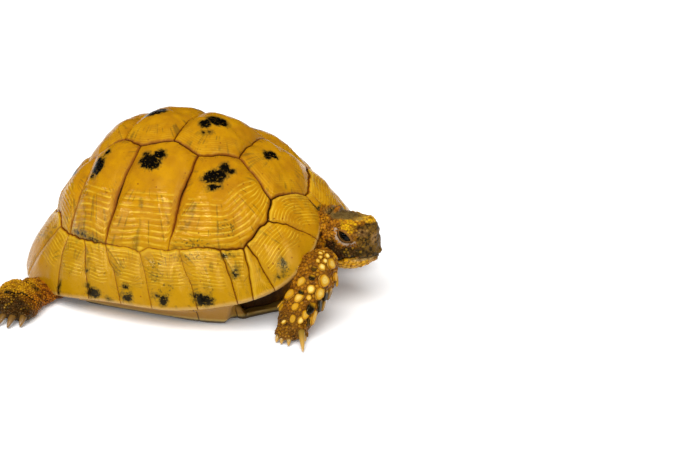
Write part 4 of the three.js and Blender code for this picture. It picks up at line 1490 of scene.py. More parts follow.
def near_eye(point: Vector) -> bool:
    """Tells whether a point of the skin is near an eye."""
    away = (abs(point.x - EYE_AT[0]), abs(abs(point.y) - 11.8), abs(point.z - EYE_AT[2]))
    return Vector(away).length < 5.2


def join(parts: Sequence[Mesh]) -> Mesh:
    """Joins meshes into one, still as separate shells."""
    bm = bmesh.new()
    for part in parts:
        bm.from_mesh(part)
    return as_mesh(bm)


# The hood's rim: its middle, its reach along X, Y and Z, its turns and how far ahead it runs there.
HOOD_MIDDLE, HOOD_REACH = np.array([70.0, 0.0, 32.0]), np.array([4.6, 13.0, 13.4])
HOOD_TURNS = np.linspace(-0.35, math.pi + 0.35, 25)
HOOD_LEAN = np.sin(HOOD_TURNS).clip(0) ** 2
# Bumps and hollows of the head, on the left side: place, reach and height.
HEAD_BUMPS = (
    (82.8, 8.8, 41.4, 4.4, 3, 2.6, 0.8),  # brow
    (75, 12.5, 36, 3.4, 4, 5, 0.5),  # temple
    (91.2, 0, 42.2, 2.8, 4.2, 2.4, 0.95),  # plates behind the nostrils
    (87.2, 0, 43.2, 1.8, 3.4, 2, -0.3),  # saddle
    (88.6, 8.6, 36.5, 2.4, 3, 4, -0.8),  # hollow before the eye
    (93.6, 2.7, 34.9, 0.8, 0.85, 0.8, -1.9),  # nostril
    (93, 4, 36.3, 1.2, 1, 1.2, 0.6),  # nostril's rim
    (84, 12, 30.5, 5, 3, 1.6, 0.3),  # cheekbone
    (95, 0, 26.6, 1.6, 2.2, 1.4, 0.5),  # beak's tip
    (87, 8.5, 18.6, 9, 3, 1.2, 0.6),  # jaw's edge
    (71.6, 6, 44, 1.3, 9, 3, 0.9),  # rim of the hood
)
CHEEK_CREASE = np.array([(72.5, 14, 33), (80.6, 13.6, 27.6)])  # its two ends
# Creases across the legs: share along, depth and width.
LEG_CREASES: dict[str, Rows] = {
    "foreleg": ((0.8, 0.5, 0.016), (0.71, 0.35, 0.012)),
    "hind_leg": (
        (0.44, 1.6, 0.02), (0.56, 0.7, 0.014), (0.72, 1.8, 0.02), (0.84, 0.8, 0.012), (0.9, 0.7, 0.01),
    ),
}


@dataclass
class SkinForm:
    """The one skin that covers the body, shaped but not yet dressed."""

    voxel: float = 0.8  # the size of its faces on the body
    inset: float = 0.7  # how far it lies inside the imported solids, where scales cover it

    def build(self) -> Mesh:
        """Builds the skin, in shell millimetres."""
        mesh = self.refine(self.remesh(join(self.parts())))
        # Painted shade: how dark each point is made in the creases, the mouth's line and the nostrils.
        crease = self.sculpt_head(mesh) + self.sculpt_folds(mesh)
        self.rest_on_floor(mesh)
        away, rise = nearest_eye(mesh_points(mesh))
        set_attributes(mesh, {"crease": np.clip(crease, 0, 1), "lid_mm": away, "lid_rise": rise})
        return mesh

    def parts(self) -> list[Mesh]:
        """Builds the overlapping parts of the body."""
        parts = [leg.loft(self.inset).mesh() for leg in LEGS]
        parts += [self.toe(claw) for leg in LEGS for claw in leg.claws()]
        parts += [NECK.mesh(), replace(TAIL, drawn_in=0.4).mesh()]
        return parts + [self.head(), self.trunk(), COLLAR.mesh(30, 48), self.hood()]

    def toe(self, claw: Claw) -> Mesh:
        """Builds the toe that holds a claw."""
        root, tip, size = claw.root, claw.tip, claw.radius + 0.75
        inner = root - unit(tip - root) * 5.0
        inner[2] = max(inner[2], 3.0)
        nose = root + unit(tip - root) * 1.6
        rows = [(*inner, size, size * 0.9), (*root, size * 1.05, size), (*nose, size * 0.55, size * 0.55)]
        return Loft(np.array(rows), unit(np.cross(tip - root, [0.0, 0.0, 1.0]))).mesh(10, 16)

    def head(self) -> Mesh:
        """Builds the head's plain form."""
        rings = 60
        mesh, radius, turn, level = tube(rings, 56)
        x, half, top, bottom = spline(np.array(HEAD), level / rings).T
        middle = (top + bottom) / 2 - 1
        rise = np.where(np.sin(turn) > 0, top - middle, middle - bottom)
        y = half * fuller(np.cos(turn)) * radius
        return placed(mesh, np.column_stack([x, y, middle + rise * fuller(np.sin(turn)) * radius]))

    def hood(self) -> Mesh:
        """Builds the rim of the hood, a thin fold of skin that arches over the head."""
        ways = [(lean, math.cos(turn), math.sin(turn)) for turn, lean in zip(HOOD_TURNS, HOOD_LEAN)]
        rows = [(*HOOD_MIDDLE + HOOD_REACH * way, 1.3, 0.9) for way in ways]
        return Loft(np.array(rows), np.array([1.0, 0.0, 0.25])).mesh(64, 12)

    def trunk(self) -> Mesh:
        """Builds the trunk inside the shell."""
        segments = 64
        profile = ((0, 3), (0.3, 3), (0.55, 3), (0.78, 3), (1, 3), (1, 2), (1, 1), (0, 1))
        mesh, ring, step, level = turned(profile, segments)
        angle = TAU * step / segments
        c, s = np.cos(angle), np.sin(angle)
        out = DOME.rim_radius(angle) * round_shell(c, 0.85, 0.955, 0.87)
        top = DOME.point(np.column_stack([out * ring * c, out * ring * s]), -3.8)
        reach = (np.abs(c / np.where(c > 0, 56, 66)) ** 3 + np.abs(s / 42) ** 3) ** (-1 / 3) * ring
        under = np.column_stack([reach * c, reach * s, np.full(len(reach), 3.6)])
        flank = top * 0.45 + under * 0.55 + np.column_stack([c, s, np.zeros_like(c)]) * 1.5
        flank[:, 2] = np.maximum(flank[:, 2], 3.6)
        lower = np.where((level > 1.5)[:, None], flank, under)
        return placed(mesh, np.where((level > 2.5)[:, None], top, lower))

    def remesh(self, rough: Mesh) -> Mesh:
        """Melts the joined parts into one skin and thins it where the shell hides it."""
        body = linked("body_rough", rough)
        melt = body.modifiers.new("melt", "REMESH")
        melt.mode, melt.voxel_size = "VOXEL", self.voxel
        relax = body.modifiers.new("relax", "SMOOTH")
        relax.factor, relax.iterations = 0.5, 5
        melted = applied(body)
        x, y, z = mesh_points(melted).T
        share, depth = DOME.share(x, y), DOME.height(x, y) - z
        hidden = (share < 0.8) & ((depth < 12) | (z < 5.5)) & (np.abs(x) < 60)
        hidden |= (share < 0.62) & (np.hypot(x / 46, y / 36) < 1)
        hidden |= (np.abs(x) < 38) & (depth > 0)
        body = linked("body_even", melted)
        thin = body.vertex_groups.new(name="hidden")
        thin.add(np.flatnonzero(hidden).tolist(), 1.0, "REPLACE")
        collapse = body.modifiers.new("thin", "DECIMATE")
        collapse.ratio, collapse.vertex_group = float(1 - hidden.mean() * 0.93), "hidden"
        return applied(body)

    def refine(self, mesh: Mesh) -> Mesh:
        """Splits the faces of the head, and again round the eyes."""
        bm = bmesh.new()
        bm.from_mesh(mesh)
        for near in (near_head, near_eye):
            edges = [edge for edge in bm.edges if all(near(vert.co) for vert in edge.verts)]
            bmesh.ops.subdivide_edges(bm, edges=edges, cuts=1, use_grid_fill=True, smooth=0.0)
        bmesh.ops.triangulate(bm, faces=[face for face in bm.faces if len(face.verts) > 4])
        head = [vert for vert in bm.verts if near_head(vert.co)]
        axes = {f"use_axis_{axis}": True for axis in "xyz"}
        for _ in range(2):
            bmesh.ops.smooth_vert(bm, verts=head, factor=0.5, **axes)
        return as_mesh(bm, mesh)

    def sculpt_head(self, mesh: Mesh) -> Array:
        """Shapes the beak, nostrils, brows and lids.

        Args:
            mesh: The skin.

        Returns:
            How much painted shade each point takes in a crease, from 0 to 1.
        """
        points, normals = mesh_points(mesh), mesh_normals(mesh)
        x, y, z = points.T
        left = folded(points)
        on_head = smooth(x, 70.5, 74.0) * (np.abs(y) < 16)
        rise, crease = np.zeros(len(points)), np.zeros(len(points))
        for *row, height in HEAD_BUMPS:
            local = (left - row[:3]) / row[3:]
            bump = np.exp(-dot(local, local))
            rise += height * bump
            crease += bump * (height < -1)
        over = z - mouth_level(x)
        along = smooth(x, 77.0, 80.0)
        rise += along * 0.5 * smooth(over, -0.1, 0.5) * (1 - smooth(over, 1.2, 4.5))
        rise -= along * 1.1 * bell(over, 0.5)
        crease += along * bell(over - 0.25, 0.75)
        snout = smooth(x, 85.0, 88.0)
        coarse, fine = Ripple(3.2, 41).at(points), Ripple(1.3, 42).at(points)
        rise += (0.1 + 0.12 * snout) * coarse + (0.06 + 0.07 * snout) * fine
        start, end = CHEEK_CREASE
        share = np.clip((left - start) @ (end - start) / ((end - start) @ (end - start)), 0, 1)
        away = np.linalg.norm(left - start - share[:, None] * (end - start), axis=1)
        rise -= 1.3 * bell(away, 1.7)
        crease += bell(away, 1.5)
        points += normals * (rise * on_head)[:, None]
        for side in Side:
            self.sculpt_lids(points, Eyelids(side))
        set_points(mesh, points)
        return crease * on_head

    def sculpt_lids(self, points: Array, lids: Eyelids) -> None:
        """Opens one eye in the skin and rolls lids round it, in place."""
        local = points - lids.middle
        radius = np.linalg.norm(local, axis=1)
        away, rise = lids.distance(points)
        near = (radius < 8.5) & (away < 8.0)
        d, r = away[near], radius[near]
        lid = EYE_RADIUS + 0.42 + 0.3 * smooth(rise[near], -0.6, 0.6)
        lid = lid + 0.16 * np.sin(np.clip(d, 0, 3.2) * TAU / 1.15) * np.exp(-d / 2.4) * (d > 0)
        target = lid + (r - lid) * smooth(d, 0.7, 3.4)
        target = np.where(d < 0, lid - (lid - EYE_RADIUS * 0.55) * smooth(-d, 0.02, 0.45), target)
        points[near] = lids.middle + local[near] / r[:, None] * target[:, None]

    def sculpt_folds(self, mesh: Mesh) -> Array:
        """Shapes the folds of the neck and the creases of the limbs.

        Args:
            mesh: The skin.

        Returns:
            How much painted shade each point takes in a crease, from 0 to 1.
        """
        points, normals = mesh_points(mesh), mesh_normals(mesh)
        x, y, _ = points.T
        on_neck = smooth(x, 56.0, 60.0) * (1 - smooth(x, 71.0, 72.5)) * (np.abs(y) < 17)
        wave = np.sin((x + 0.8 * Ripple(12.0, 51).at(points)) * TAU / 3.3)
        rise = on_neck * 0.55 * wave
        crease = on_neck * smooth(-wave, 0.2, 1.0) * 0.7
        for leg in LEGS:
            loft = leg.loft(self.inset)
            near = np.flatnonzero((y * leg.side.value > 20) & (np.abs(x - loft.stations[:, 0].mean()) < 34))
            share, _, _ = loft.nearest(points[near])
            wave = 0.4 * Ripple(9.0, 60 + len(leg.name)).at(points[near])
            for place, depth, width in LEG_CREASES[leg.name.rsplit("_", 1)[0]]:
                fold = bell(share - place + 0.03 * wave, width)
                rise[near] -= depth * fold
                crease[near] += 0.8 * depth * fold
            rise[near] += 0.22 * Ripple(5.5, 61).at(points[near])
        set_points(mesh, points + normals * rise[:, None])
        return crease

    @staticmethod
    def rest_on_floor(mesh: Mesh) -> None:
        """Flattens whatever would reach into the floor."""
        points = mesh_points(mesh)
        z = points[:, 2]
        points[:, 2] = np.maximum(np.where(z < 0.5, 0.25 + 0.25 * np.tanh(z * 2 - 1), z), FLOOR)
        set_points(mesh, points)


def applied(body: bpy.types.Object) -> Mesh:
    """Applies an object's modifiers and removes the object.

    Args:
        body: The object.

    Returns:
        The finished mesh.
    """
    graph = bpy.context.evaluated_depsgraph_get()
    mesh = bpy.data.meshes.new_from_object(body.evaluated_get(graph))
    bpy.data.objects.remove(body)
    return mesh


# ------------------------------------------------------------------ scales


class Lie(Enum):
    """Which part of the body a coat covers, and so which way its scales point."""

    HEAD = "head"
    NECK = "neck"
    TAIL = "tail"
    FORELEG_RIGHT = "foreleg_right"
    FORELEG_LEFT = "foreleg_left"
    HIND_LEG_RIGHT = "hind_leg_right"
    HIND_LEG_LEFT = "hind_leg_left"


# Large scales of the forelegs: share along the leg, turn round it in degrees, half width, how
# pointed each is, and its tone, from black at -1 to pale at 1.
ARM_SCALES = (
    (0.25, 30, 1.3, 0, 0.8), (0.272, 42, 1.5, 0, 1), (0.288, 16, 1.5, 0, 1), (0.302, 38, 1.1, 0, 0.6),
    (0.328, 24, 1.3, 0, 1), (0.345, 46, 1.1, 0, 0.4), (0.235, 28, 1.2, 0, 0.3), (0.25, -22, 1.6, 0.3, 0.2),
    (0.338, 2, 2.8, 0, 0.8), (0.385, 29, 1.9, 0, 1), (0.465, 8, 3.2, 0, 0.9), (0.405, -20, 1.9, 0.4, 0.1),
    (0.41, 54, 1.3, 0, -0.9), (0.465, 50, 1.5, 0, -1), (0.487, 80, 2.3, 0.2, 0.3), (0.539, 38, 2.1, 0.1, 1),
    (0.542, 2, 2.7, 0.4, 0.6), (0.554, 96, 3, 0.2, 0.2), (0.558, 64, 1.4, 0, -1), (0.592, 62, 2.4, 0.3, 0.6),
    (0.591, 31, 1.4, 0, 0.3), (0.523, -18, 1.9, 1.1, -1), (0.585, -14, 2.2, 1.2, -1),
    (0.645, 8, 2.1, 0.9, -1), (0.67, -16, 1.9, 1.7, 0.4), (0.715, 14, 1.8, 0.7, 0.4),
    (0.745, -8, 1.4, 1.2, -0.9), (0.785, 27, 1.5, 0.3, 0.9), (0.81, 90, 1.3, 0.2, 0.9),
    (0.581, 134, 1.7, 1, 0.3), (0.665, 66, 1.9, 0.2, 0.1), (0.62, 122, 1.7, 0.3, -0.2),
    (0.78, 58, 1.6, 0.2, -0.2), (0.395, -48, 2, 0.6, 0.2), (0.493, -44, 2.1, 0.8, -0.6),
    (0.562, -42, 2, 0.9, -0.4),
)


@dataclass(frozen=True)
class ScaleCut:
    """The template that one size of scale is copied from."""

    segments: int
    profile: Rows
    suffix: str = ""


SMALL_CUT = ScaleCut(8, ((0, 1), (0.55, 0.86), (0.88, 0.42), (1, 0), (0, -0.3)))
LARGE_PROFILE = (
    (0, 0.9), (0.3, 0.97), (0.55, 1), (0.72, 0.94), (0.85, 0.74), (0.94, 0.42), (1, 0), (0, -0.3),
)
LARGE_CUT = ScaleCut(22, LARGE_PROFILE, "_large")


@dataclass
class Growth:
    """Where scales grow and what each is like, one row for each scale."""

    points: Array
    normals: Array
    size: Array  # half width
    pointed: Array  # below 0 for a small scale
    tone: Array

    def take(self, chosen: Array) -> "Growth":
        """Keeps only the chosen scales."""
        return Growth(*(getattr(self, key.name)[chosen] for key in fields(self)))


def kd_tree(points: Array) -> KDTree:
    """Sorts points so that neighbours are found fast."""
    tree = KDTree(len(points))
    for index, point in enumerate(points):
        tree.insert(point, index)
    tree.balance()
    return tree


@dataclass
class ScaleCoat:
    """The scales that cover one part of the body."""

    lie: Lie
    skin: Mesh  # the shaped skin, in shell millimetres
    material: Material
    slot: str = "scaly_skin"
    gap: float = 0.05
    neighbours: int = 14
    sunk: float = 0.16  # how far a scale's rim lies under the skin
    seed: int = 5
    patch: float = 0.0015  # a scale's size on the unwrapped part

    def __post_init__(self) -> None:
        """Finds the leg that the coat covers, if it is one."""
        self.leg = next((leg for leg in LEGS if leg.name == self.lie.value), None)
        self.fore = self.leg is not None and "fore" in self.leg.name

    def build(self) -> None:
        """Builds the pieces."""
        growth = self.roots()
        shares, turns, tips = self.lay(growth.points)
        normals = growth.normals
        tips = unit(tips - normals * dot(tips, normals)[:, None])
        large = growth.pointed >= 0
        for chosen, cut in ((large, LARGE_CUT), (~large, SMALL_CUT)):
            if chosen.any():
                reach = self.cells(growth, tips, cut.segments)[chosen]
                mesh, radius, angle = self.copies(growth.take(chosen), tips[chosen], reach, cut)
                self.unwrap(mesh, shares[chosen], turns[chosen], radius, angle)
                show(f"scales_{self.lie.value}{cut.suffix}", mesh, self.material, self.slot)

    def lay(self, points: Array) -> tuple[Array, Array, Array]:
        """Gives each point's place on the part and the way its scale points.

        Args:
            points: One row for each point.

        Returns:
            The share along the part, the turn round it and the direction of the scale's tip.
        """
        if self.leg:
            return self.leg.loft().nearest(points)
        if self.lie is Lie.TAIL:
            return TAIL.nearest(points)
        x, y, z = points.T
        return (x - 50) / 50, np.arctan2(z - 31, y), np.tile([-1.0, 0.0, -0.15], (len(points), 1))

    def wanted(self, points: Array) -> Array:
        """Tells which points of the skin this coat covers."""
        x, y, z = points.T
        if self.lie is Lie.HEAD:
            over = z - mouth_level(x)
            beak = (x > 89.5 + 0.25 * np.clip(over - 4, 0, 30)) & (over > -1.2)
            jaw_lip = (over < 0) & (over > -2.0) & (x > 80)
            mouth = (np.abs(over) < 0.75) & (x > 78)
            away, rise = nearest_eye(points)
            open_eye = away < np.where(rise < 0.4, 2.7, 1.1)
            nostril = np.linalg.norm(folded(points) - (93.4, 2.8, 34.9), axis=1) < 1.9
            crown = (z > 42.4) & (x < 88.5) & (np.abs(y) < 9)
            bare = beak | jaw_lip | mouth | open_eye | nostril | crown
            return (x > 71.8) & (np.abs(y) < 14) & (z > 15) & ~bare
        if self.lie is Lie.NECK:
            under_dome = (DOME.share(x, y) < 0.9) & (z > 30)
            return (x > 56) & (x < 72.4) & (np.abs(y) < 15.5) & ~under_dome
        if self.lie is Lie.TAIL:
            return (x < -64) & (np.abs(y - 3) < 9) & (z < 14)
        leg, (start, inner) = self.leg, (0.14, 15.6) if self.fore else (0.3, 24)
        share, _, _ = leg.loft().nearest(points)
        mine = (y * leg.side.value > inner) & (x * leg.stations[0][0] > 0) & (share > start) & ~(z < 0.6)
        for claw in leg.claws():
            way = unit(claw.tip - claw.root)
            ahead = (points - claw.root) @ way
            off = np.linalg.norm(points - claw.root - ahead[:, None] * way, axis=1)
            mine &= ~((ahead > 0.4) & (off < claw.radius + 1.2))
        return mine & (np.abs(x - leg.stations[2][0]) < 30)

    def spacing(self, points: Array) -> Array:
        """Gives how far apart scales grow at each point."""
        x, _, z = points.T
        if self.lie is Lie.HEAD:
            eye, _ = nearest_eye(points)
            return 1.1 + 0.07 * np.clip(eye - 1, 0, 8) + 0.3 * smooth(mouth_level(x) - z, 0.0, 2.0)
        if not self.leg:
            return np.full(len(points), 1.5)
        share, turn, _ = self.lay(points)
        if self.fore:
            return 1.75 - 0.45 * smooth(share, 0.55, 0.75) - 0.2 * smooth(np.cos(turn), 0.2, -0.8)
        return 1.15 + 0.4 * smooth(share, 0.75, 0.95)

    def flatness(self, points: Array) -> Array:
        """Gives how much lower than usual scales are at each point."""
        if self.lie is Lie.HEAD:
            return 0.62 - 0.37 * smooth(points[:, 2], 41.0, 42.6) * (points[:, 0] < 89)
        return np.full(len(points), 0.7 if self.lie is Lie.NECK else 1.0)

    def roots(self) -> Growth:
        """Places the large scales and scatters the small ones evenly for their sizes."""
        rng = np.random.default_rng(self.seed)
        corners = mesh_triangles(self.skin)
        points, normals = mesh_points(self.skin), mesh_normals(self.skin)
        large = self.large(points, normals)
        corners = corners[self.wanted(points[corners].mean(axis=1))]
        a, b, c = points[corners].transpose(1, 0, 2)
        area = np.linalg.norm(np.cross(b - a, c - a), axis=1) / 2
        count = int(area.sum() * 9)
        face = rng.choice(len(corners), count, p=area / area.sum())
        u, v = rng.random((2, count))
        flip = u + v > 1
        u, v = np.where(flip, 1 - u, u), np.where(flip, 1 - v, v)
        weights = np.stack([1 - u - v, u, v], axis=1)[:, :, None]
        tries = (points[corners[face]] * weights).sum(axis=1)
        tilts = unit((normals[corners[face]] * weights).sum(axis=1))
        small, none = self.spacing(tries), np.full(count, -1.0)
        scattered = (tries, tilts, small / 2, none, none * 0)
        placed_first = (getattr(large, key.name) for key in fields(large))
        both = [np.concatenate(pair) for pair in zip(placed_first, scattered)]
        gaps = np.concatenate([large.size + 0.62, small * 0.86])
        return Growth(*both).take(self.thin_out(both[0], gaps, len(large.size)))

    def large(self, points: Array, normals: Array) -> Growth:
        """Places the forelegs' large scales on the skin's nearest points.

        Args:
            points: The skin's points.
            normals: Its normals.

        Returns:
            The large scales, none on other parts.
        """
        if not self.fore:
            return Growth(np.zeros((0, 3)), np.zeros((0, 3)), *(np.zeros(0) for _ in range(3)))
        share, turn, size, pointed, tone = np.array(ARM_SCALES).T
        places = self.leg.loft(SkinForm.inset).surface(share, np.radians(turn))
        nearest = [int(np.argmin(np.linalg.norm(points - place, axis=1))) for place in places]
        return Growth(points[nearest], normals[nearest], size, pointed, tone)

    @staticmethod
    def thin_out(tries: Array, gap: Array, fixed: int) -> list[int]:
        """Keeps only places that are far enough apart.

        Args:
            tries: The places, with the fixed ones first.
            gap: How much room each needs round it.
            fixed: How many stay whatever lies near.

        Returns:
            The numbers of the places kept.
        """
        tree = kd_tree(tries)
        free = np.ones(len(tries), bool)
        kept = []
        for index in range(len(tries)):
            if index < fixed or free[index]:
                kept.append(index)
                for _, other, _ in tree.find_range(tries[index], gap[index]):
                    free[other] = False
        return kept

    def cells(self, growth: Growth, tips: Array, segments: int) -> Array:
        """Works out each scale's outline from its neighbours.

        Args:
            growth: The scales.
            tips: The way each points.
            segments: How many directions to work out.

        Returns:
            For each scale, its reach in each direction, the first toward its tip.
        """
        roots, size = growth.points, growth.size
        tree, count = kd_tree(roots), min(self.neighbours + 1, len(roots))
        near = np.array([[index for _, index, _ in tree.find_n(point, count)] for point in roots])[:, 1:]
        away = roots[near] - roots[:, None]
        along = np.einsum("ijk,ik->ij", away, tips)
        aside = np.einsum("ijk,ik->ij", away, np.cross(growth.normals, tips))
        mine = size[:, None] / (size[:, None] + size[near])
        angles = TAU * np.arange(segments) / segments
        toward = along[..., None] * np.cos(angles) + aside[..., None] * np.sin(angles)
        limit = ((along**2 + aside**2) * mine)[..., None] / np.maximum(toward, 1e-6)
        limit[toward <= 1e-6] = FAR
        first, second = np.random.default_rng(self.seed + 2).random((2, len(size), 1)) * TAU
        uneven = 1 + 0.1 * np.cos(2 * angles) + 0.07 * np.cos(2 * angles + first)
        uneven = uneven + 0.05 * np.cos(3 * angles + second)
        most = np.where(growth.pointed >= 0, 1.15, 1.35) * size
        reach = np.minimum(limit.min(axis=1), most[:, None] * uneven) - self.gap
        return np.maximum(0.72 * reach + 0.28 * reach.mean(axis=1, keepdims=True), 0.2)

    def copies(self, growth: Growth, tips: Array, reach: Array, cut: ScaleCut) -> tuple[Mesh, Array, Array]:
        """Copies the template scale to every root.

        Args:
            growth: The scales.
            tips: The way each points.
            reach: Each scale's reach in each direction.
            cut: The template's shape.

        Returns:
            One mesh of all the scales, and the radius and angle of the template's points.
        """
        template, radius, step, level = turned(cut.profile, cut.segments)
        faces = [tuple(face.vertices) for face in template.polygons]
        number, count = len(growth.size), len(template.vertices)
        rng = np.random.default_rng(self.seed + 1)
        rise = (0.26 + 0.2 * np.minimum(growth.size, 2.0)) * rng.uniform(0.8, 1.2, number)
        rise *= self.flatness(growth.points)
        angle = TAU * step / cut.segments
        pointed = np.maximum(growth.pointed, 0)[:, None]
        out = reach[:, step] * radius * (1 + pointed * np.clip(np.cos(angle), 0, 1) ** 5)
        ahead, aside = out * np.cos(angle), out * np.sin(angle)
        above = level > 0
        tilt = (0.16 + 0.1 * pointed) * self.flatness(growth.points)[:, None]
        height = np.where(above, level * rise[:, None] + tilt * ahead, level * 0.3 - self.sunk)
        height = np.where((level == 0) & (np.cos(angle) > 0.5), height + pointed * 0.2 * ahead, height)
        places = growth.points[:, None] + ahead[..., None] * tips[:, None]
        places += aside[..., None] * np.cross(growth.normals, tips)[:, None]
        places += height[..., None] * growth.normals[:, None]
        places[..., 2] = np.maximum(places[..., 2], FLOOR)
        mesh = bpy.data.meshes.new("scales")
        starts = range(0, number * count, count)
        rows = [tuple(v + start for v in face) for start in starts for face in faces]
        mesh.from_pydata(places.reshape(-1, 3), [], rows)
        shade = np.clip(level, 0, 1) if cut is SMALL_CUT else 1 - radius**2 * above
        set_attributes(mesh, {
            "dome": np.tile(shade, number),
            "forward": (ahead / growth.size[:, None]).ravel(),
            "chance": np.repeat(rng.random(number), count),
            "width": np.repeat(growth.size, count),
            "tone": np.repeat(growth.tone, count),
        })
        return mesh, radius, angle

    def unwrap(self, mesh: Mesh, shares: Array, turns: Array, radius: Array, angle: Array) -> None:
        """Lays each scale as a small patch at its root's place on the unwrapped part.

        Args:
            mesh: The scales.
            shares: How far along the part each root is.
            turns: How far round the part it is.
            radius: How far out each point of the template is.
            angle: How far round the template it is.
        """
        across = np.tile(radius * np.cos(angle) * self.patch, len(shares))
        along = np.tile(radius * np.sin(angle) * self.patch, len(shares))
        u = 0.01 + 0.98 * (np.repeat(turns, len(radius)) / TAU + 0.5) + across
        v = 0.01 + 0.98 * np.clip(np.repeat(shares, len(radius)), 0, 1) + along
        layer = mesh.uv_layers.new(name="OFBake")
        corners = np.empty(len(mesh.loops), np.int32)
        mesh.loops.foreach_get("vertex_index", corners)
        layer.data.foreach_set("uv", np.column_stack([u, v])[corners].astype(np.float32).ravel())


# ------------------------------------------------------------------ claws and eyes


@dataclass
class Claws:
    """The claws of one foot."""

    leg: Leg
    material: Material
    slot: str = "scaly_skin"
    hook: float = 0.14
    above_floor: float = 0.03
    profile: Rows = (
        (0, -0.3), (0.85, -0.3), (1, 0), (0.97, 0.15), (0.88, 0.35), (0.74, 0.55), (0.56, 0.73),
        (0.38, 0.87), (0.2, 0.96), (0, 1),
    )

    def build(self) -> None:
        """Builds the foot's claws as one piece."""
        meshes, levels = zip(*(self.claw(claw) for claw in self.leg.claws()))
        mesh = join(meshes)
        set_attributes(mesh, {"along": np.concatenate(levels)})
        show(f"claws_{self.leg.name}", mesh, self.material, self.slot)

    def claw(self, claw: Claw) -> tuple[Mesh, Array]:
        """Builds one claw, flattened beneath and slightly hooked.

        Args:
            claw: Its place and size.

        Returns:
            Its mesh, and how far from root to tip each point is.
        """
        segments = 18
        mesh, radius, step, level = turned(self.profile, segments)
        length = np.linalg.norm(claw.tip - claw.root)
        way = unit(claw.tip - claw.root)
        side = unit(np.cross(way, [0.0, 0.0, 1.0]))
        up = np.cross(side, way)
        turn = TAU * step / segments
        lift = self.hook * length * 4 * np.clip(level, 0, 1) * (1 - np.clip(level, 0, 1)) * 0.5
        high = np.where(np.sin(turn) > 0, 1.0, 0.62) * np.sin(turn) * radius * claw.radius
        middle = claw.root + way * (level * length)[:, None] + up * lift[:, None]
        places = middle + side * (np.cos(turn) * radius * claw.radius)[:, None] + up * high[:, None]
        places[:, 2] = np.maximum(places[:, 2], self.above_floor)
        return placed(mesh, places), level


@dataclass
class Eyeball:
    """One eye, a ball with a slightly raised clear front."""

    side: Side
    material: Material
    slot: str = "eye"

    def build(self) -> None:
        """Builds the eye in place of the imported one."""
        bm = bmesh.new()
        bmesh.ops.create_uvsphere(bm, u_segments=40, v_segments=24, radius=EYE_RADIUS - 0.05)
        lids = Eyelids(self.side)
        out = lids.frame()[0]
        for vert in bm.verts:
            facing = vert.co.normalized().dot(Vector(out))
            vert.co *= 1 + 0.035 * max(0.0, (facing - 0.8) / 0.2)
        bmesh.ops.translate(bm, verts=bm.verts, vec=Vector(lids.middle))
        mesh = as_mesh(bm)
        out32 = np.array(Vector(out))
        set_attributes(mesh, {"facing": unit(mesh_points(mesh) - lids.middle) @ out32})
        piece = show(f"eyeball_{self.side.word}", mesh, self.material, self.slot)
        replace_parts(piece, f"eye_{self.side.word}")


# ------------------------------------------------------------------ finishes


DIRT_FEEDS = {"Distance": "seam_mm", "Ledge": "ledge_mm", "Dirt": "dirt"}
FINE = 0.00012  # the depth of fine relief, in metres


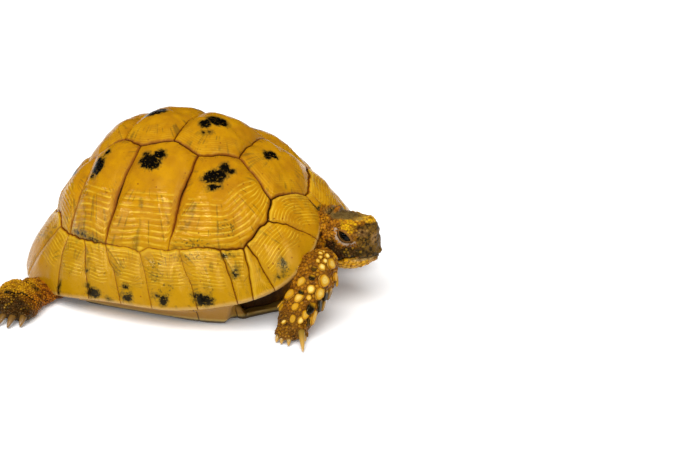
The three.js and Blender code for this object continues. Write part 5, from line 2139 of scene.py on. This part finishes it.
@dataclass(frozen=True)
class CarapaceHorn:
    """Golden horn with pale growth lines, brown seams and black blotches."""

    effects: Effects
    gold: Point = paint("bd8506")
    amber: Point = paint("a66e05")
    lemon: Point = paint("d6ae2c")
    flank: Point = paint("ab7f08")
    rust: Point = paint("7c3c0a")
    umber: Point = paint("260e04")
    olive: Point = paint("4e4216")
    black: Point = paint("070605")
    lip: Point = paint("c29c58")

    def build(self) -> Material:
        """Builds the material."""
        tree = Finish("carapace_horn")
        place, share = tree.place, tree.read("share")
        grain = tree.group(self.effects.grain, Place=place)
        bands = tree.group(self.effects.growth, Count=tree.read("growth"), Place=place)
        colour = tree.mix(grain["Mottle"], self.gold, self.amber)
        colour = tree.over(colour, self.flank, tree.rise(tree.axis(place, 2), 52, 22), 0.75)
        colour = tree.over(colour, self.amber, tree.rise(tree.axis(place, 0), -48, -74), 0.7)
        colour = tree.over(colour, self.lemon, bands["Pale"], tree.read("ringed"), 0.85)
        colour = tree.over(colour, self.rust, bands["Brown"], tree.rise(share, 0.02, 0.2), 0.55)

        streak = tree.rise(tree.cells(tree.stretch(tree.read("spokes", "Vector"), (5.5, 1, 1)), 1), 0.09, 0)
        broken = tree.rise(tree.noise(place, 6, 3), 0.45, 0.6)
        colour = tree.over(colour, self.olive, streak, broken, tree.rise(share, 0, 0.15), 0.55)
        dots = tree.rise(tree.cells(place, 3.4, "F1"), 0.15, 0.09)
        colour = tree.over(colour, self.rust, dots, tree.rise(tree.noise(place, 5, 1), 0.5, 0.54), 0.8)
        colour = tree.over(colour, self.rust, grain["Specks"], 0.34)
        rim = tree.plus(tree.read("rim_mm"), tree.noise(place, 2, 3))
        colour = tree.over(colour, self.lip, tree.rise(rim, 2.9, 1.2), 0.7)

        given = {name: tree.read(key) for name, key in DIRT_FEEDS.items()}
        dirt = tree.group(self.effects.seam, **given, Place=place)
        colour = tree.over(colour, self.lemon, tree.read("pale_edge"), 0.4)
        colour = tree.over(colour, self.rust, dirt["Stain"], 0.75)
        deep = tree.mix(tree.rise(given["Dirt"], 0.35, 1.1), self.rust, self.umber)
        colour = tree.over(colour, deep, dirt["Line"], 0.95)

        smudge = tree.plus(tree.read("smudge_mm"), grain["Mottle"], 2.5)
        spots = tree.rise(tree.noise(tree.stretch(place, (0.8, 1, 1)), 1.1, 4, 0.65), 0.53, 0.62)
        colour = tree.over(colour, self.olive, tree.rise(smudge, 2.4, -0.6), tree.plus(0.15, spots, 0.85))

        ragged = tree.less(tree.noise(place, 2.2, 6, 0.75))
        away = tree.plus(tree.read("blotch_mm"), ragged, 6.5)
        colour = tree.over(colour, self.olive, tree.rise(away, 1.6, 0.1), 0.6)
        flecks = tree.rise(tree.noise(tree.stretch(place, (0.6, 1, 1.3)), 0.8, 3, 0.6), 0.6, 0.66)
        colour = tree.over(colour, self.black, tree.rise(away, 0.3, -0.3), tree.plus(1, flecks, -0.7))

        rough = tree.plus(tree.plus(0.2, grain["Mottle"], 0.14), dirt["Stain"], 0.2)
        bump = (tree.plus(grain["Height"], bands["Height"], 0.5), 0.4, FINE)
        return tree.done(colour, rough, 0.25, bump, HORN_TINT)


@dataclass(frozen=True)
class PlastronHorn:
    """Pale yellow horn with worn rings and brown smudges, near black where it meets the floor: dirt with a
    painted contact shadow.
    """

    effects: Effects
    straw: Point = paint("b3903a")
    cream: Point = paint("cdb262")
    flank: Point = paint("946608")
    # Near black for dirt smudges, and for the painted contact shadow along the floor.
    smudge: Point = paint("2c1a0a")
    umber: Point = paint("331606")

    def build(self) -> Material:
        """Builds the material."""
        tree = Finish("plastron_horn")
        place = tree.place
        grain = tree.group(self.effects.grain, Place=place)
        bands = tree.group(self.effects.growth, Count=tree.read("growth"), Place=place)
        colour = tree.mix(grain["Mottle"], self.straw, self.cream)
        colour = tree.over(colour, self.cream, bands["Pale"], 0.6)
        colour = tree.over(colour, self.umber, bands["Brown"], 0.5)
        smudge, height = tree.rise(tree.noise(place, 22, 5, 0.7), 0.55, 0.68), tree.axis(place, 2)
        side = tree.plus(height, tree.noise(place, 6, 3))
        colour = tree.over(colour, self.flank, tree.rise(side, 2.5, 4.5), 0.95)
        # Painted contact shadow with dirt: the lowest 3 mm go near black, with dirt smudges over them.
        low = tree.rise(height, 3, 1.2)
        colour = tree.over(colour, self.smudge, low, 0.9)
        colour = tree.over(colour, self.smudge, smudge, low, 0.8)
        given = {name: tree.read(key) for name, key in DIRT_FEEDS.items()}
        dirt = tree.group(self.effects.seam, **given, Place=place)
        colour = tree.over(colour, self.umber, dirt["Line"], 0.85)
        bump = (tree.plus(grain["Height"], bands["Height"], 0.6), 0.4, FINE)
        return tree.done(colour, tree.plus(0.38, smudge, 0.2), 0.3, bump)


@dataclass(frozen=True)
class Hide:
    """Wrinkled skin that shows between the scales, with the lids, the mouth's line, and painted shade in its
    cracks and creases.
    """

    effects: Effects
    shadow: Point = paint("2c1204")
    # Near black of painted shade, in creases and round the eyes' openings.
    crease: Point = paint("0e0602")
    lower_lid: Point = paint("d2b89c")
    margin: Point = paint("9a6424")
    upper_lid: Point = paint("c8960e")

    def build(self) -> Material:
        """Builds the material."""
        tree = Finish("hide")
        place = tree.place
        colour = tree.group(self.effects.hide, Place=place)["Colour"]
        grain = tree.group(self.effects.grain, Place=place)
        cracks = tree.rise(tree.cells(place, 0.8), 0, 0.12)
        colour = tree.over(colour, self.shadow, tree.less(1, cracks), 0.45)
        colour = tree.over(colour, self.shadow, 0.2)
        lid, up = tree.read("lid_mm"), tree.read("lid_rise")
        rough = tree.less(tree.noise(place, 1, 4, 0.7))
        uneven, low = tree.plus(lid, rough, 0.9), tree.plus(up, rough, 1.5)
        patchy = tree.plus(tree.plus(0.3, cracks, 0.5), rough, 1.2)
        ring = (tree.rise(uneven, 3.8, 2.2), tree.rise(low, 0.7, 0.1), patchy)
        colour = tree.over(colour, self.lower_lid, *ring)
        upper = (tree.rise(uneven, 2.2, 1.4), tree.rise(up, 0.2, 0.9), 0.85)
        colour = tree.over(colour, self.upper_lid, *upper)
        # Painted shade in the fold round the lids.
        colour = tree.over(colour, self.crease, tree.rise(uneven, 1.75, 1.3))
        colour = tree.over(colour, self.margin, tree.rise(lid, 1.25, 0.95), 0.85)
        # Painted shade where the lids meet the eyeball.
        colour = tree.over(colour, self.crease, tree.rise(lid, 0.3, 0.1))
        # Painted shade in the creases, the mouth's line and the nostrils.
        colour = tree.over(colour, self.crease, tree.rise(tree.read("crease"), 0.25, 0.75))
        bump = (tree.plus(cracks, grain["Height"], 0.7), 0.6, 0.00025)
        return tree.done(colour, tree.plus(0.38, grain["Mottle"], 0.2), 0.3, bump, HORN_TINT)


@dataclass(frozen=True)
class ScaleHorn:
    """Horny scales with the hide's markings, paler in their middles."""

    effects: Effects
    edge: Point = paint("4a2206")
    amber: Point = paint("a05c06")
    straw: Point = paint("c8920e")
    pale: Point = paint("f0d878")
    black: Point = paint("0a0603")

    def build(self) -> Material:
        """Builds the material."""
        tree = Finish("scale_horn")
        place, dome, tone, chance = tree.place, tree.read("dome"), tree.read("tone"), tree.read("chance")
        grain = tree.group(self.effects.grain, Place=place)
        large = tree.rise(tree.read("width"), 0.95, 1.1)
        plain = tree.less(1, large)
        uneven = tree.plus(dome, tree.less(grain["Mottle"]), 0.25)
        horn = tree.mix(tree.rise(uneven, 0.08, 0.4), self.amber, self.straw)
        horn = tree.over(horn, self.pale, tree.rise(uneven, 0.45, 1.05), tree.math("MAXIMUM", tone, 0))
        horn = tree.over(horn, self.amber, tree.rise(tree.fold(tree.times(uneven, 4)), 0.1, 0.5), 0.3)
        colour = tree.over(tree.group(self.effects.hide, Place=place)["Colour"], horn, large, 0.92)
        colour = tree.over(colour, self.straw, tree.rise(chance, 0.6, 1), 0.35, dome, plain)
        colour = tree.over(colour, self.edge, tree.rise(chance, 0.4, 0), 0.5, plain)
        colour = tree.over(colour, self.edge, tree.rise(dome, 0.45, 0), 0.6)
        dark = tree.math("MAXIMUM", tree.times(tone, -1), 0)
        tip = tree.plus(tree.read("forward"), grain["Mottle"], 0.5)
        colour = tree.over(colour, self.black, dark, tree.rise(tip, -0.9, 0.3))
        bump = (grain["Height"], 0.4, 0.00015)
        return tree.done(colour, tree.plus(0.27, grain["Mottle"], 0.18), 0.35, bump, HORN_TINT)


@dataclass(frozen=True)
class ClawHorn:
    """Olive yellow horn that pales toward the tip."""

    effects: Effects

    def build(self) -> Material:
        """Builds the material."""
        tree = Finish("claw_horn")
        grain, along = tree.group(self.effects.grain, Place=tree.place), tree.read("along")
        colour = tree.mix(tree.rise(along, 0.1, 0.9), paint("8c6c1c"), paint("c8983c"))
        colour = tree.over(colour, paint("3c2208"), tree.rise(along, 0.25, -0.1), 0.7)
        colour = tree.over(colour, paint("8a6a34"), grain["Mottle"], 0.3)
        colour = tree.over(colour, paint("54300c"), tree.rise(tree.axis(tree.place, 0), -20, -40), 0.7)
        tree.feed(tree.inputs["Coat Weight"], 0.08)
        tree.feed(tree.inputs["Coat Roughness"], 0.3)
        return tree.done(colour, 0.35, 0.5, (grain["Height"], 0.3, FINE))


@dataclass(frozen=True)
class WetEye:
    """A dark brown iris round a black pupil, under a wet front."""

    def build(self) -> Material:
        """Builds the material."""
        tree = Finish("wet_eye")
        facing = tree.read("facing")
        iris = tree.mix(tree.noise(tree.place, 0.5, 4), paint("100804"), paint("241608"))
        colour = tree.over(iris, paint("050403"), tree.rise(facing, 0.86, 0.9))
        colour = tree.over(colour, paint("0a0705"), tree.rise(facing, 0.68, 0.6))
        return tree.done(colour, 0.06, 0.12)


# ------------------------------------------------------------------ the studio


def toward(turn: float, rise: float) -> Vector:
    """Gives a direction from the animal, turned from its right side and raised, in degrees."""
    a, e = math.radians(turn), math.radians(rise)
    return Vector((math.sin(a) * math.cos(e), -math.cos(a) * math.cos(e), math.sin(e)))


@dataclass
class Studio:
    """A white table, soft light and the camera."""

    azimuth: float = 20.37
    elevation: float = 22.29
    camera_at: Point = (0.3028, -0.6133, 0.3025)
    lens: float = 77.14
    floor_size: float = 6.0
    surround: float = 0.42
    sky_power: float = 3.2
    sky_spread: float = 55.0
    sky_from: Point = (14.0, 62.0)
    # Small lamps: direction, height, size and power.
    lamps: Rows = ((-6, 33, 0.1, 7), (53, 38, 0.08, 4), (-44, 22, 0.08, 3))

    def build(self) -> None:
        """Builds the floor, the lights and the camera."""
        self.build_floor()
        self.build_light()
        self.build_camera()

    def build_floor(self) -> None:
        """Builds the floor, just under the plastron."""
        bm = bmesh.new()
        bmesh.ops.create_grid(bm, x_segments=1, y_segments=1, size=self.floor_size / 2)
        mesh = as_mesh(bm)
        tree = Finish("table_white")
        tree.feed(tree.inputs["Emission Color"], WHITE)
        tree.feed(tree.inputs["Emission Strength"], 0.1)
        tone = tree.mix(tree.noise(tree.place, 60, 3), paint("fbfbfb"), paint("f6f6f6"))
        mesh.materials.append(tree.done(tone, 0.6, 0.2))
        floor = linked("table", mesh)

    def build_light(self) -> None:
        """Builds a bright surround, a broad soft light and the small lamps that give the gloss."""
        scene = bpy.context.scene
        scene.view_settings.view_transform = "Standard"
        scene.world = bpy.data.worlds.new("surround")
        scene.world.use_nodes = True
        background = scene.world.node_tree.nodes["Background"]
        background.inputs["Color"].default_value = (1, 1, 1, 1)
        background.inputs["Strength"].default_value = self.surround
        scene.world.cycles_visibility.glossy = False
        sky = bpy.data.lights.new("sky", "SUN")
        sky.energy, sky.angle = self.sky_power, math.radians(self.sky_spread)
        self.hang("sky", sky, *self.sky_from, 2.0).visible_glossy = False
        for number, (turn, rise, size, watts) in enumerate(self.lamps):
            lamp = bpy.data.lights.new(f"lamp_{number}", "AREA")
            lamp.shape, lamp.size, lamp.energy = "DISK", size, watts
            self.hang(f"lamp_{number}", lamp, turn, rise, 1.2).visible_diffuse = False

    def hang(self, name: str, data: Any, turn: float, rise: float, distance: float) -> bpy.types.Object:
        """Points a lamp or a camera at the animal.

        Args:
            name: The object's name.
            data: The lamp or the camera.
            turn: Its direction round the animal from its right side, in degrees.
            rise: Its height above the floor, in degrees.
            distance: How far away it is.

        Returns:
            The object.
        """
        way, thing = toward(turn, rise), linked(name, data)
        thing.location = way * distance
        thing.rotation_euler = way.to_track_quat("Z", "Y").to_euler()
        return thing

    def build_camera(self) -> None:
        """Builds the camera, level from side to side."""
        lens = bpy.data.cameras.new("camera")
        lens.lens, lens.sensor_width = self.lens, 36.0
        camera = self.hang("camera", lens, self.azimuth, self.elevation, 1.0)
        camera.location = self.camera_at
        bpy.context.scene.camera = camera


# ------------------------------------------------------------------ making it all


def main() -> None:
    """Builds every piece of the tortoise and the studio round it."""
    logging.basicConfig(level=logging.INFO, format="%(name)s %(message)s")
    effects = Effects()
    Studio().build()
    Carapace(CarapaceHorn(effects).build()).build()
    Plastron(PlastronHorn(effects).build()).build()
    scale_horn = ScaleHorn(effects).build()
    skin = SkinForm().build()
    for lie in Lie:
        ScaleCoat(lie, skin, scale_horn).build()
    hide = show("hide", skin, Hide(effects).build(), "skin")
    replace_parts(hide, "trunk", "head", "lower_jaw", "neck", "tail", *(leg.name for leg in LEGS))
    claw_horn = ClawHorn(effects).build()
    for leg in LEGS:
        Claws(leg, claw_horn).build()
    wet_eye = WetEye().build()
    for side in Side:
        Eyeball(side, wet_eye).build()


if __name__ == "__main__":
    main()
